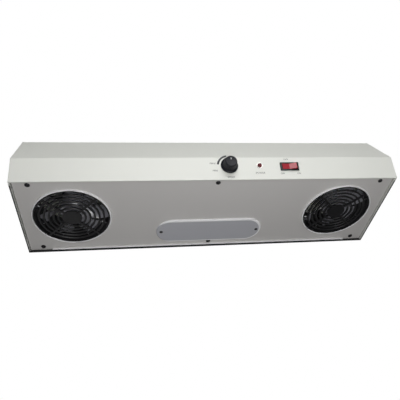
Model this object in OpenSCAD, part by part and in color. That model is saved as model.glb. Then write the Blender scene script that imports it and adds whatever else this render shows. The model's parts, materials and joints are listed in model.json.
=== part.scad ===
// Overhead ionizing blower: a folded sheet-steel housing that hangs above a
// bench, with a leaning control face at the front and two fans that blow down
// past rings of emitter needles through finger guards in the base panel.
// X runs along the length, -Y is the front, +Z is up. The origin is under the
// middle of the whole blower, in the plane of the rim that it can rest on.

/* [Housing] */
// Overall length over the two end plates
body_l = 600; // [570:5:700]
// Height of the housing
body_h = 110; // [104:1:130]
// Depth of the open base
base_d = 159.5; // [158:0.5:180]
// How far the control face leans out over the base
nose_out = 14; // [8:1:18]
// Height of the control face
nose_h = 36; // [34:1:42]
// How far the upper front edge sits behind the lower one
top_setback = 12.5; // [6:0.5:14]
// Thickness of the cover's sheet steel
sheet_t = 1.2; // [0.8:0.1:1.5]
// Outer radius of the cover's bends
bend_r = 3.5; // [3:0.5:7]
// Height of the closed hem along the cover's front lip
hem_h = 4.2; // [3:0.1:4.4]
// Thickness of the end plates
end_t = 1.5; // [1:0.1:2]
// Width of the end plates' folded flanges
end_flange_w = 12; // [9:0.5:13]

/* [Base panel] */
// Depth that the panel sits behind the rim
panel_recess = 4; // [3.6:0.1:5]
// Thickness of the panel
panel_t = 1.2; // [0.8:0.1:1.6]
// Gap between the panel and its neighbours at the front and the sides
panel_gap = 1.5; // [1:0.1:2.5]
// Slot left open between the panel's turned lip and the rear wall
rear_slot = 3; // [2.5:0.1:4]
// Length of each corner that reaches back to the rear wall
corner_l = 35; // [28:1:38]
// Height of the turned lip on the panel's rear edge
lip_h = 3.3; // [1.5:0.1:3.5]
// Distance between the outer screws along the length
screw_pitch_x = 552; // [540:1:556]
// Distance between the front and rear screws
screw_pitch_y = 140; // [136:0.5:141]
// Distance from the front lip to the front screws
screw_front = 9.5; // [8.5:0.1:10.5]
// Offset of the two middle screws from the centre line
screw_mid = 3.5; // [0:0.5:8]
// Head radius of the panel screws
screw_head_r = 3.8; // [3.4:0.1:4]
// Head height of the panel screws
screw_head_h = 2.4; // [2:0.1:2.8]
// Length of the panel screws under the head
screw_l = 8; // [6:0.5:12]

/* [Access cover] */
// Length of the rounded cover
access_l = 182; // [160:1:200]
// Width of the rounded cover
access_w = 53.6; // [44:0.2:54]
// Height of the cover's dished face above the panel
access_h = 3.1; // [2:0.1:3.2]
// Thickness of the cover's sheet
access_t = 1; // [0.8:0.1:1.2]
// Place of the cover's centre along the length
access_x = 2; // [-4:1:6]
// Place of the cover's centre behind the front lip
access_y = 118.6; // [116:0.2:118.8]
// Distance of each screw from the end of the cover
access_screw_in = 8; // [6:0.5:10]
// Width of the panel's opening under the cover
access_hole_w = 34; // [26:1:36]

/* [Fans] */
// Distance of each fan's axis from the middle
fan_x = 221.5; // [216:0.5:224]
// Distance of the fans' axes behind the front lip
fan_y = 78.6; // [78:0.2:79.4]
// Side of the square fan frame
fan_w = 119.5; // [116:0.5:120]
// Depth of the fan
fan_t = 38; // [34:1:38]
// Thickness of the frame's two flanges
fan_flange_t = 4; // [3:0.5:5]
// Radius of the duct through the frame
duct_r = 57.2; // [55:0.2:57.6]
// Distance between the fixing holes
fan_pitch = 105; // [103:0.5:106]
// Number of blades on each rotor
blades = 7; // [5:1:7]
// Angle that each blade covers round the hub at its root
blade_root_arc = 29; // [24:1:40]
// Angle that each blade covers at its tip
blade_tip_arc = 26; // [20:1:36]
// Depth of the blades along the axis
blade_h = 12; // [10:0.5:20]
// Radius of the rotor's hub
hub_r = 20; // [19:0.5:24]
// Gap between the blade tips and the duct
tip_gap = 1.2; // [0.8:0.1:2]
// Thickness of a blade at the middle of its chord
blade_t = 1.8; // [1.4:0.1:2.4]
// Radius of the rotor's steel shaft
rotor_shaft_r = 1.5; // [1.2:0.1:2]
// Outer radius of the ball bearings
bearing_r = 4; // [3.5:0.1:5]
// Width of each ball bearing
bearing_w = 4; // [3:0.5:5]
// Width of the three plain struts
strut_w = 5; // [4:0.5:7]
// Width of the front strut, which carries the leads
lead_strut_w = 12; // [9:0.5:14]

/* [Air openings] */
// Inner radius of the panel's outlet collars
outlet_r = 58.4; // [57.6:0.1:58.6]
// Wall thickness of the outlet collars
collar_t = 1.8; // [1.4:0.1:2.2]
// Height of the outlet collars below the panel's face
collar_h = 3.4; // [2.4:0.1:3.5]
// Number of rings in each finger guard
guard_rings = 5; // [4:1:5]
// Radius of the guard's closed middle disc
guard_disc_r = 15; // [13:0.5:17]
// Distance from ring to ring
guard_pitch = 7.15; // [6.5:0.05:7.4]
// Width of each ring
guard_ring_w = 3; // [2.4:0.1:3.4]
// Depth of the rings and spokes
guard_t = 2.4; // [2:0.1:3]
// Width of the four spokes
guard_spoke_w = 3; // [2.4:0.1:4]
// Thickness of the guard's flange
guard_flange_t = 1.6; // [1.4:0.1:3]
// Wall thickness of the guard's skirt inside the collar
guard_skirt_t = 1.6; // [1.2:0.1:2]
// Radius of the intake openings in the top
intake_r = 52; // [46:0.5:54]
// Side of the square intake grilles
grille_w = 120; // [114:1:122]
// Thickness of the intake grilles
grille_t = 1; // [0.8:0.1:1.5]
// Distance between a grille's screws
grille_pitch = 109; // [106:0.5:110]
// Number of slots along a grille
slot_rows = 11; // [7:1:12]
// Number of slots across a grille
slot_cols = 3; // [2:1:3]
// Width of each slot
slot_w = 4.6; // [3:0.2:5]
// Distance from slot to slot along a grille
slot_pitch = 8.4; // [8:0.1:8.6]
// Length of each slot
slot_l = 27; // [18:0.5:29]

/* [Emitters] */
// Depth of the ring that holds the emitters
emitter_ring_h = 5; // [4.8:0.1:8]
// Number of needles in each ring
needles = 8; // [4:2:12]
// Radius of a needle
needle_r = 0.8; // [0.6:0.1:1.2]
// Length of a needle inside the duct
needle_l = 11; // [8:0.5:14]
// Radius of the socket that holds a needle
needle_boss_r = 1.9; // [1.6:0.1:2.2]
// Length of that socket inside the duct
needle_boss_l = 4; // [2:0.5:5]

/* [Controls] */
// Place of the speed knob along the length
knob_x = 21.5; // [14:0.5:26]
// Place of the knob and the lamp up the control face
knob_s = 24; // [21:0.5:25]
// Radius of the knob's skirt
knob_skirt_r = 13.6; // [11:0.2:14]
// Radius of the knob's grip at its foot
knob_r = 10.6; // [9:0.2:11]
// Radius of the knob's grip at its top
knob_top_r = 9.6; // [8:0.2:10]
// Height of the knob above the control face
knob_h = 16; // [13:0.5:18]
// Radius of the potentiometer's shaft
pot_shaft_r = 3; // [2:0.5:3]
// Radius of the potentiometer's case
pot_r = 8.5; // [7:0.5:9]
// Depth of the potentiometer's case
pot_d = 9.5; // [7:0.5:11]
// Place of the indicator lamp along the length
lamp_x = 70; // [60:0.5:76]
// Radius of the lamp's lens
lamp_r = 3.8; // [2:0.1:4]
// Place of the rocker switch along the length
switch_x = 119; // [112:0.5:124]
// Place of the rocker switch up the control face
switch_s = 21.8; // [20:0.2:22.5]
// Length of the switch's bezel
switch_l = 31; // [29:0.5:33]
// Width of the switch's bezel
switch_w = 13.8; // [12.5:0.1:15]
// Angle that the rocker turns from one side to the other
rocker_throw = 20; // [12:1:22]

/* [Supplies and wiring] */
// Length of the potted high-voltage supply
supply_l = 100; // [80:1:104]
// Height of the potted high-voltage supply
supply_h = 58; // [40:1:60]
// Depth of the potted high-voltage supply
supply_d = 36; // [24:1:38]
// Place of the supply's middle along the length
supply_x = -64; // [-70:1:-56]
// Length of the control board
board_l = 100; // [96:1:104]
// Height of the control board
board_h = 60; // [56:1:62]
// Thickness of the control board
board_t = 1.6; // [1:0.1:2]
// Place of the board's middle along the length
board_x = 54; // [52:1:56]
// Length of the board's standoffs
standoff_l = 8; // [5:0.5:10]
// Radius of the insulated leads
lead_r = 1.5; // [1:0.1:2]
// Radius that the leads are bent to
lead_bend_r = 6; // [4:0.5:7]
// Place of the power inlet along the length
inlet_x = 136; // [134:1:140]
// Height of the power inlet's middle
inlet_z = 58; // [52:1:64]

/* [Hanging] */
// Distance between the hanging nuts along the length
hang_x = 300; // [280:1:306]
// Distance between the hanging nuts front to back
hang_y = 100; // [80:1:104]
// Radius of the threaded bore of a hanging nut
hang_bore_r = 2.5; // [2:0.1:3]

/* [Hidden] */
$fn = 72;
eps = 0.01;

// Clearances
screw_clear = 0.25;      // screw shank in a plain hole
thread_clear = 0.05;     // screw shank in a tapped hole
bearing_clear = 0.03;    // turning shaft in its bearing, and bearing in its seat
cutout_clear = 0.3;      // body of a control in its cut-out
rocker_clear = 0.3;      // rocker inside its bezel
turn_clear = 0.6;        // between parts that turn past each other
grille_clear = 1.5;      // grille's edge to the bend of the top

// Fastener sizes: radius of the shank, of the head, and head height
screw_r = 1.6;
small_screw_r = 1.25;
small_head_r = 2.8;
small_head_h = 1.4;
stud_r = 1.95;
nut_h = 3.2;
nut_af = 7;
small_nut_h = 2.2;
small_nut_af = 5.5;
rivet_r = 1.6;
rivet_head_r = 3.2;
rivet_head_h = 1;
recess_w = 0.9;

// Control face: direction up the face, direction into the housing, and tilt
face_len = norm([nose_out, nose_h]);
face_up = [-nose_out, nose_h] / face_len;
face_in = [nose_h, nose_out] / face_len;
face_tilt = 90 + atan(nose_out / nose_h);
function on_face(s, n = 0) = face_up * s + face_in * n;

// Levels above the rim
panel_z = panel_recess;
panel_top = panel_z + panel_t;
guard_z = panel_z - collar_h + 0.8;
guard_top = panel_top + guard_flange_t;
emitter_z = guard_top;
fan_z = emitter_z + emitter_ring_h;
fan_top = fan_z + fan_t;
top_in = body_h - sheet_t;
wall_in = base_d - sheet_t;

// Knob, inlet and the reach of the whole blower front to back
knob_lift = 0.8;
knob_edge_r = 1.2;
inlet_flange_t = 2.5;
front_reach = on_face(knob_s)[0] - face_in[0] * (knob_h - knob_edge_r)
    + face_up[0] * (knob_top_r - knob_edge_r) - knob_edge_r;
back_reach = base_d + inlet_flange_t + small_head_h;
front_y = -(front_reach + back_reach) / 2;

// Cover section: lower front, lower rear, upper rear, upper front, nose
cover_pts = [[0, 0], [base_d, 0], [base_d, body_h], [top_setback, body_h],
    [-nose_out, nose_h]];
cover_rs = [0, 0, bend_r, bend_r, bend_r];

// Panel
panel_x = body_l / 2 - end_t - panel_gap;
panel_y0 = on_face((panel_z - face_in[1] * 2 * sheet_t) / face_up[1], 2 * sheet_t)[0] + panel_gap;
panel_y1 = wall_in - rear_slot;
lip_t = 1;
screw_ys = [screw_front, screw_front + screw_pitch_y];
screw_xs = [-screw_pitch_x / 2, screw_mid, screw_pitch_x / 2];

// Rails that take the panel's screws
rail_t = 1.5;
front_rail_y = 17;
rear_rail_y = 140;
rail_up = 16;

access_face_z = panel_z - access_h;
access_hole_l = access_l - 4 * access_screw_in;
access_screw_x = access_l / 2 - access_screw_in;

// Fan
fan_signs = [-1, 1];
corner_round = 6;
frame_wall = (fan_w - 2 * duct_r) / 2;
strut_h = 4;
cup_r = hub_r + 0.5;
cup_t = 2;
hub_z0 = strut_h + turn_clear + 0.4;
hub_top = fan_t - 2;
hub_wall = 2;
hub_cap = 3;
tube_r = bearing_r + 1.4;
tube_top = hub_top - hub_cap - 3;
stator_r = hub_r - hub_wall - turn_clear - 0.4;
stator_z = cup_t + 2.5;
stator_h = tube_top - stator_z - 2;

// Switch
switch_bezel_t = 2;
rocker_half_l = 12.2;
rocker_w = 9.4;
rocker_pivot = -1;
rocker_depth = 5;
rocker_end_h = 4.4;
rocker_mid_h = 1.4;
trunnion_r = 1;
switch_depth = 20;
switch_wall = 0.9;
switch_body_l = 2 * (rocker_half_l + rocker_clear + switch_wall + 0.3);
switch_body_w = rocker_w + 2 * (rocker_clear + switch_wall);
terminal_l = 7;

// Power inlet: appliance inlet with a screwed flange
inlet_flange_l = 50;
inlet_flange_h = 24;
inlet_screw_pitch = 40;
inlet_body_l = 27.6;
inlet_body_h = 19.6;
inlet_depth = 24;
inlet_mouth_l = 24.4;
inlet_mouth_h = 16.6;
inlet_mouth_d = 16;
inlet_chamfer = 4.5;
inlet_pin_l = 12;
inlet_pin_w = 2;
inlet_pin_h = 4;
inlet_tail = 5;

// Heights on the rear wall
supply_z = 34;
board_z = 32;
board_hole_in = 4;
board_y1 = wall_in - standoff_l;
board_y0 = board_y1 - board_t;
terminal_block_d = 12;
block_y = board_y0 - terminal_block_d;

// Colours
paint = [0.86, 0.87, 0.84];
panel_paint = [0.72, 0.72, 0.71];
black = [0.07, 0.07, 0.08];
zinc = [0.70, 0.71, 0.73];
dark_steel = [0.22, 0.22, 0.23];
brass = [0.80, 0.65, 0.30];

// ---- Placing ----

// From the lower front edge of the housing to the part's own origin
module place() translate([0, front_y, 0]) children();

// A section drawn in Y and Z, run along X between two stations
module along_x(x0, x1)
    translate([x0, 0, 0]) rotate([90, 0, 90]) linear_extrude(x1 - x0) children();

// A place on the control face: X along it, Y up it, Z out of it
module at_face(x, s)
    translate([x, on_face(s)[0], on_face(s)[1]]) rotate([face_tilt, 0, 0]) children();

// A place on the rear wall's outer face: Z points out of the back
module at_back(x, z) translate([x, base_d, z]) rotate([-90, 0, 0]) children();

module at_fan(side) translate([side * fan_x, fan_y, 0]) children();

// The four corners of a square pitch
module corners(pitch) for (sx = [-1, 1], sy = [-1, 1])
    translate([sx * pitch / 2, sy * pitch / 2, 0]) children();

// ---- Shapes ----

function unit(v) = v / norm(v);

// Tangent points and centre of the round at corner p
function tangent(a, p, b, r) =
    let (da = unit(a - p), db = unit(b - p), half = acos(da * db) / 2, run = r / tan(half))
    [p + da * run, p + db * run, p + unit(da + db) * r / sin(half)];

// Convex outline with its own radius at each corner
module rounded_outline(pts, rs) {
    n = len(pts);
    t = [for (i = [0:n - 1]) tangent(pts[(i + n - 1) % n], pts[i], pts[(i + 1) % n], rs[i])];
    polygon([for (i = [0:n - 1]) each (rs[i] > 0 ? [t[i][0], t[i][1]] : [pts[i]])]);
    for (i = [0:n - 1]) if (rs[i] > 0) translate(t[i][2]) circle(rs[i]);
}

// Point where the two edges at p meet after both move inwards by d
function inset_point(a, p, b, d) = tangent(a, p, b, d)[2];

// Square with rounded corners
module rounded_square(w, r) {
    square([w, w - 2 * r], center = true);
    square([w - 2 * r, w], center = true);
    corners(w - 2 * r) circle(r);
}

// Outline with two straight sides and half-round ends
module stadium(l, w) {
    square([l - w, w], center = true);
    for (s = [-1, 1]) translate([s * (l - w) / 2, 0]) circle(w / 2);
}

module ring(r_out, r_in, h) difference() {
    cylinder(r = r_out, h = h);
    translate([0, 0, -1]) cylinder(r = r_in, h = h + 2);
}

// Domed screw: the head is below Z = 0, the shank above it
module screw(shank_r, head_r, head_h, l) {
    dome_r = head_r * 1.35;
    difference() {
        rotate_extrude() intersection() {
            translate([0, -head_h]) square([head_r, head_h]);
            translate([0, dome_r - head_h]) circle(dome_r);
        }
        for (a = [0, 90]) rotate(a)
            translate([0, 0, -head_h]) cube([head_r * 1.1, recess_w, head_h], center = true);
    }
    cylinder(r = shank_r, h = l - shank_r / 2);
    translate([0, 0, l - shank_r / 2]) cylinder(r1 = shank_r, r2 = shank_r / 2, h = shank_r / 2);
}

// Hexagon nut standing on Z = 0
module nut(across, h, bore_r) difference() {
    cylinder(r = across / 2 / cos(30), h = h, $fn = 6);
    translate([0, 0, -1]) cylinder(r = bore_r, h = h + 2);
}

// Round lead through a list of points, with square turns bent to one radius
module lead(pts, r, bend) {
    last = len(pts) - 1;
    for (i = [0:last - 1]) {
        d = unit(pts[i + 1] - pts[i]);
        a = pts[i] + d * (i == 0 ? 0 : bend);
        b = pts[i + 1] - d * (i == last - 1 ? 0 : bend);
        translate(a) rotate([0, acos(d[2]), atan2(d[1], d[0])]) cylinder(r = r, h = norm(b - a));
    }
    for (i = [1:1:last - 1]) {
        d1 = unit(pts[i] - pts[i - 1]);
        d2 = unit(pts[i + 1] - pts[i]);
        c = pts[i] + (d2 - d1) * bend;
        z = cross(d1, d2);
        multmatrix([[-d2[0], d1[0], z[0], c[0]], [-d2[1], d1[1], z[1], c[1]],
            [-d2[2], d1[2], z[2], c[2]]])
            rotate_extrude(angle = 90) translate([bend, 0]) circle(r);
    }
}

// ---- Housing ----

// The cover's bent section, open below, with a closed hem along the front lip
module cover_section() {
    inner = [for (i = [2:4]) inset_point(cover_pts[i - 1], cover_pts[i], cover_pts[(i + 1) % 5], sheet_t)];
    below = -2;
    foot = on_face((below - face_in[1] * sheet_t) / face_up[1], sheet_t);
    hem_s = (sheet_t - face_in[1] * sheet_t) / face_up[1];
    difference() {
        rounded_outline(cover_pts, cover_rs);
        rounded_outline([foot, [wall_in, below], inner[0], inner[1], inner[2]],
            [0, 0, bend_r - sheet_t, bend_r - sheet_t, bend_r - sheet_t]);
        polygon([on_face(hem_s, -1), on_face(hem_s, 3 * sheet_t), on_face(-4, 3 * sheet_t),
            on_face(-4, -1)]);
    }
    polygon([on_face(hem_s, 0), on_face(hem_s, 2 * sheet_t), on_face(hem_h, 2 * sheet_t),
        on_face(hem_h, 0)]);
    translate(on_face(hem_s, sheet_t)) circle(sheet_t - 2 * eps);
}

// Holes for the rivets that hold each end plate: top ones, then rear ones
rivet_x = body_l / 2 - end_t - end_flange_w / 2;
rivet_ys = [34, base_d - 36];
rivet_zs = [36, body_h - 24];

module housing_cover() color(paint) place() {
    difference() {
        along_x(-body_l / 2 + end_t, body_l / 2 - end_t) cover_section();
        for (side = fan_signs) {
            at_fan(side) translate([0, 0, top_in - 3]) cylinder(r = intake_r, h = sheet_t + 6);
            at_fan(side) translate([0, 0, top_in - 3])
                corners(grille_pitch) cylinder(r = small_screw_r + screw_clear, h = sheet_t + 6);
            for (y = rivet_ys) translate([side * rivet_x, y, top_in - 3])
                cylinder(r = rivet_r + thread_clear, h = sheet_t + 6);
            for (z = rivet_zs) at_back(side * rivet_x, z)
                translate([0, 0, -4]) cylinder(r = rivet_r + thread_clear, h = 6);
        }
        hanging_points() translate([0, 0, -8]) cylinder(r = hang_body_r, h = 12);
        at_face(knob_x, knob_s) translate([0, 0, -4])
            cylinder(r = bushing_r + screw_clear, h = 6);
        at_face(lamp_x, knob_s) translate([0, 0, -4]) cylinder(r = lamp_tube_r + screw_clear, h = 6);
        at_face(switch_x, switch_s)
            cube([switch_body_l + 2 * cutout_clear, switch_body_w + 2 * cutout_clear, 8], center = true);
        at_back(inlet_x, inlet_z) {
            cube([inlet_body_l + 2 * cutout_clear, inlet_body_h + 2 * cutout_clear, 8], center = true);
            for (s = [-1, 1]) translate([s * inlet_screw_pitch / 2, 0, -4])
                cylinder(r = small_screw_r + screw_clear, h = 6);
        }
        for (s = [-1, 1]) at_back(supply_x + s * supply_screw_x, supply_z + supply_h / 2)
            translate([0, 0, -4]) cylinder(r = small_screw_r + screw_clear, h = 6);
    }
}

// End plate with sharp laser-cut corners and two folded flanges inside
module end_plate(side) color(paint) place() {
    x_out = side * body_l / 2;
    x_in = side * (body_l / 2 - end_t);
    x_flange = side * (body_l / 2 - end_t - end_flange_w);
    along_x(min(x_out, x_in), max(x_out, x_in)) polygon(cover_pts);
    difference() {
        union() {
            translate([min(x_in, x_flange), rivet_ys[0] - 12, top_in - end_t])
                cube([end_flange_w, rivet_ys[1] - rivet_ys[0] + 24, end_t]);
            translate([min(x_in, x_flange), wall_in - end_t, rivet_zs[0] - 12])
                cube([end_flange_w, end_t, rivet_zs[1] - rivet_zs[0] + 24]);
        }
        for (y = rivet_ys) translate([side * rivet_x, y, top_in - 4])
            cylinder(r = rivet_r + thread_clear, h = 8);
        for (z = rivet_zs) at_back(side * rivet_x, z) translate([0, 0, -8])
            cylinder(r = rivet_r + thread_clear, h = 12);
    }
}
module left_end_plate() end_plate(-1);
module right_end_plate() end_plate(1);

// Blind rivet through the cover and one flange; Z = 0 is the cover's face
module rivet() {
    grip = sheet_t + end_t;
    rotate_extrude() intersection() {
        square([rivet_head_r, rivet_head_h]);
        translate([0, rivet_head_h - rivet_head_r * 1.6]) circle(rivet_head_r * 1.6);
    }
    translate([0, 0, -grip]) cylinder(r = rivet_r, h = grip);
    translate([0, 0, -grip - 1.4]) cylinder(r1 = rivet_r, r2 = rivet_r * 1.5, h = 1.4);
}

module end_plate_rivets() color(zinc) place() for (side = [-1, 1]) {
    for (y = rivet_ys) translate([side * rivet_x, y, body_h]) rivet();
    for (z = rivet_zs) at_back(side * rivet_x, z) rivet();
}

// Rail sections: a flat leg over the panel and a leg against the wall
module front_rail_section() {
    low = (panel_top - face_in[1] * sheet_t) / face_up[1];
    bend = (panel_top + rail_t - face_in[1] * (sheet_t + rail_t)) / face_up[1];
    polygon([on_face(low, sheet_t), [front_rail_y, panel_top], [front_rail_y, panel_top + rail_t],
        on_face(bend, sheet_t + rail_t), on_face(rail_foot_s, sheet_t + rail_t),
        on_face(rail_foot_s, sheet_t)]);
}
rail_foot_s = 12;

module rear_rail_section() {
    translate([rear_rail_y, panel_top]) square([wall_in - rear_rail_y, rail_t]);
    translate([wall_in - rail_t, panel_top]) square([rail_t, rail_up]);
}

module rail_holes(y) for (x = screw_xs) translate([x, y, panel_top - 2])
    cylinder(r = screw_r + thread_clear, h = rail_t + 4);

rail_x = body_l / 2 - end_t;

module front_panel_rail() color(dark_steel) place() difference() {
    along_x(-rail_x, rail_x) front_rail_section();
    rail_holes(screw_ys[0]);
}

module rear_panel_rail() color(dark_steel) place() difference() {
    along_x(-rail_x, rail_x) rear_rail_section();
    rail_holes(screw_ys[1]);
}

// ---- Base panel ----

// Collar section: a round-edged wall that grows out of the panel in a small radius
module collar_section() {
    edge = collar_t / 2;
    foot_r = 1;
    translate([outlet_r, panel_z - collar_h + edge]) square([collar_t, collar_h - edge + panel_t]);
    translate([outlet_r + edge, panel_z - collar_h + edge]) circle(edge);
    difference() {
        translate([outlet_r + collar_t, panel_z - foot_r]) square([foot_r, foot_r + panel_t]);
        translate([outlet_r + collar_t + foot_r, panel_z - foot_r]) circle(foot_r);
    }
}

module bottom_panel() color(panel_paint) place() {
    difference() {
        union() {
            translate([-panel_x, panel_y0, panel_z]) cube([2 * panel_x, panel_y1 - panel_y0, panel_t]);
            for (s = [-1, 1]) translate([s * (panel_x - corner_l / 2) - corner_l / 2, panel_y1 - eps, panel_z])
                cube([corner_l, rear_slot - 0.5, panel_t]);
            translate([-panel_x + corner_l, panel_y1 - lip_t, panel_z - lip_h])
                cube([2 * (panel_x - corner_l), lip_t, lip_h + panel_t]);
        }
        for (side = fan_signs) at_fan(side) translate([0, 0, -1])
            cylinder(r = outlet_r + collar_t / 2, h = panel_top + 4);
        for (x = screw_xs, y = screw_ys) translate([x, y, panel_z - 1])
            cylinder(r = screw_r + screw_clear, h = panel_t + 2);
        translate([access_x, access_y, panel_z - 1])
            linear_extrude(panel_t + 2) stadium(access_hole_l, access_hole_w);
        for (s = [-1, 1]) translate([access_x + s * access_screw_x, access_y, panel_z - 1])
            cylinder(r = small_screw_r + screw_clear, h = panel_t + 2);
    }
    for (side = fan_signs) at_fan(side) rotate_extrude() collar_section();
}

module panel_screws() color(black) place()
    for (x = screw_xs, y = screw_ys) translate([x, y, panel_z])
        screw(screw_r, screw_head_r, screw_head_h, screw_l);

// Half section of the dished cover: flat face, rounded edge and short wall
module dish_section(half_w) {
    edge = access_t + 0.8;
    translate([0, access_face_z]) square([half_w - edge, access_t]);
    translate([half_w - access_t, access_face_z + edge]) square([access_t, access_h - edge]);
    intersection() {
        difference() {
            translate([half_w - edge, access_face_z + edge]) circle(edge);
            translate([half_w - edge, access_face_z + edge]) circle(edge - access_t);
        }
        translate([half_w - edge, access_face_z]) square([edge, edge]);
    }
}

module access_cover() color(panel_paint) place() difference() {
    translate([access_x, access_y, 0]) {
        straight = access_l - access_w;
        along_x(-straight / 2, straight / 2) {
            dish_section(access_w / 2);
            mirror([1, 0]) dish_section(access_w / 2);
        }
        for (s = [-1, 1]) translate([s * straight / 2, 0, 0])
            rotate(s * 90 - 180) rotate_extrude(angle = 180) dish_section(access_w / 2);
    }
    for (s = [-1, 1]) translate([access_x + s * access_screw_x, access_y, access_face_z - 1])
        cylinder(r = small_screw_r + screw_clear, h = access_t + 2);
}

module access_cover_screws() color(black) place()
    for (s = [-1, 1]) translate([access_x + s * access_screw_x, access_y, access_face_z])
        screw(small_screw_r, small_head_r, small_head_h, access_h + panel_t + small_nut_h + 1);

module access_cover_nuts() color(zinc) place()
    for (s = [-1, 1]) translate([access_x + s * access_screw_x, access_y, panel_top])
        nut(small_nut_af, small_nut_h, small_screw_r + thread_clear);

// ---- Finger guards ----

// One ring's section, bevelled on the side that shows
module guard_bar(w) {
    bevel = 0.6;
    polygon([[-w / 2, bevel], [-w / 2 + bevel, 0], [w / 2 - bevel, 0], [w / 2, bevel],
        [w / 2, guard_t], [-w / 2, guard_t]]);
}

guard_in = outlet_r - 0.6;

module finger_guard(side) color(black) place() at_fan(side) {
    difference() {
        translate([0, 0, panel_top]) linear_extrude(guard_flange_t) rounded_square(fan_w, corner_round);
        translate([0, 0, panel_top - 1]) cylinder(r = guard_in - 0.5, h = guard_flange_t + 2);
        translate([0, 0, panel_top - 1]) corners(fan_pitch)
            cylinder(r = stud_r + screw_clear, h = guard_flange_t + 2);
    }
    translate([0, 0, guard_z]) {
        cylinder(r = guard_disc_r, h = guard_t);
        for (i = [1:guard_rings]) rotate_extrude()
            translate([guard_disc_r + i * guard_pitch - guard_ring_w / 2, 0]) guard_bar(guard_ring_w);
        for (a = [45:90:315]) rotate(a) translate([guard_disc_r - 1, -guard_spoke_w / 2, -0.4])
            cube([guard_in - 0.8 - guard_disc_r + 1, guard_spoke_w, guard_t]);
        rotate_extrude() translate([guard_in - guard_skirt_t, 0])
            square([guard_skirt_t, guard_top - guard_z]);
    }
}
module left_finger_guard() finger_guard(-1);
module right_finger_guard() finger_guard(1);

// ---- Emitter rings ----

needle_z = emitter_z + emitter_ring_h / 2;

module emitter_ring(side) color(black) place() at_fan(side) difference() {
    union() {
        difference() {
            translate([0, 0, emitter_z]) linear_extrude(emitter_ring_h) rounded_square(fan_w, corner_round);
            translate([0, 0, emitter_z - 1]) cylinder(r = duct_r, h = emitter_ring_h + 2);
        }
        for (i = [0:needles - 1]) rotate((i + 0.5) * 360 / needles)
            translate([duct_r - needle_boss_l, 0, needle_z]) rotate([0, 90, 0])
                cylinder(r = needle_boss_r, h = needle_boss_l + 0.6);
    }
    translate([0, 0, emitter_z - 1]) corners(fan_pitch)
        cylinder(r = stud_r + screw_clear, h = emitter_ring_h + 2);
    for (i = [0:needles - 1]) rotate((i + 0.5) * 360 / needles)
        translate([duct_r - needle_boss_l - 1, 0, needle_z]) rotate([0, 90, 0])
            cylinder(r = needle_r, h = needle_boss_l + 1.5);
}
module left_emitter_ring() emitter_ring(-1);
module right_emitter_ring() emitter_ring(1);

// Needles point at the fan's axis, each with a ground conical tip
module emitter_needles(side) color(zinc) place() at_fan(side)
    for (i = [0:needles - 1]) rotate((i + 0.5) * 360 / needles)
        translate([duct_r + 0.5, 0, needle_z]) rotate([0, -90, 0]) {
            cylinder(r = needle_r, h = needle_l - 4);
            translate([0, 0, needle_l - 4]) cylinder(r1 = needle_r, r2 = 0.05, h = 4);
        }
module left_emitter_needles() emitter_needles(-1);
module right_emitter_needles() emitter_needles(1);

// ---- Fans ----

// The fan stands on its outlet end, so its struts are on the intake side
module at_fan_base(side) at_fan(side) translate([0, 0, fan_top]) rotate([0, 180, 0]) children();

module fan_frame(side) color(dark_steel) place() at_fan_base(side) {
    difference() {
        union() {
            for (z = [0, fan_t - fan_flange_t]) translate([0, 0, z])
                linear_extrude(fan_flange_t) rounded_square(fan_w, corner_round);
            cylinder(r = fan_w / 2, h = fan_t);
        }
        translate([0, 0, -1]) cylinder(r = duct_r, h = fan_t + 2);
        translate([0, 0, -1]) corners(fan_pitch) cylinder(r = stud_r + screw_clear, h = fan_t + 2);
    }
    difference() {
        union() {
            cylinder(r = cup_r, h = strut_h);
            for (a = [0, 90, 180]) rotate(a) translate([cup_r - 2, -strut_w / 2, 0])
                cube([duct_r + 0.4 - cup_r + 2, strut_w, strut_h]);
            rotate(270) translate([cup_r - 2, -lead_strut_w / 2, 0])
                cube([duct_r + 0.4 - cup_r + 2, lead_strut_w, strut_h]);
            cylinder(r = tube_r, h = tube_top);
        }
        translate([0, 0, cup_t]) ring(cup_r - 1.5, tube_r, strut_h);
        translate([0, 0, cup_t]) cylinder(r = bearing_r + bearing_clear / 2, h = tube_top);
    }
}
module left_fan_frame() fan_frame(-1);
module right_fan_frame() fan_frame(1);

// Wound stator: a slotted laminated core with a coil round each arm
module fan_stator(side) color(brass) place() at_fan_base(side) translate([0, 0, stator_z])
    difference() {
        cylinder(r = stator_r, h = stator_h);
        translate([0, 0, -1]) cylinder(r = tube_r, h = stator_h + 2);
        for (a = [45:90:315]) rotate(a) {
            translate([tube_r + 2, -1.2, -1]) cube([stator_r, 2.4, stator_h + 2]);
            translate([(tube_r + stator_r) / 2 + 1, 0, -1]) cylinder(r = 2.6, h = stator_h + 2);
        }
    }
module left_fan_stator() fan_stator(-1);
module right_fan_stator() fan_stator(1);

bearing_zs = [cup_t, tube_top - bearing_w];

module fan_bearings(side) color(zinc) place() at_fan_base(side)
    for (z = bearing_zs) translate([0, 0, z]) ring(bearing_r, rotor_shaft_r + bearing_clear, bearing_w);
module left_fan_bearings() fan_bearings(-1);
module right_fan_bearings() fan_bearings(1);

// Blade: a swept, twisted surface from hub to tip with a thin curved section
blade_spans = 6;
blade_chords = 8;
blade_root_r = hub_r - 1;
blade_tip_r = duct_r - tip_gap;
blade_sweep = 14;
function mix(a, b, u) = a + (b - a) * u;
function blade_point(i, j, side) =
    let (u = i / blade_spans, v = j / blade_chords,
        r = mix(blade_root_r, blade_tip_r, u),
        a = blade_sweep * u * u + mix(blade_root_arc, blade_tip_arc, u) * (v - 0.5),
        z = hub_top - 2 - blade_h * (1 - 0.12 * u) * v - 1.8 * sin(180 * v),
        half = blade_t * (0.4 + 0.6 * sin(180 * v)) / 2)
    [r * cos(a), r * sin(a), z + side * half];

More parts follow.
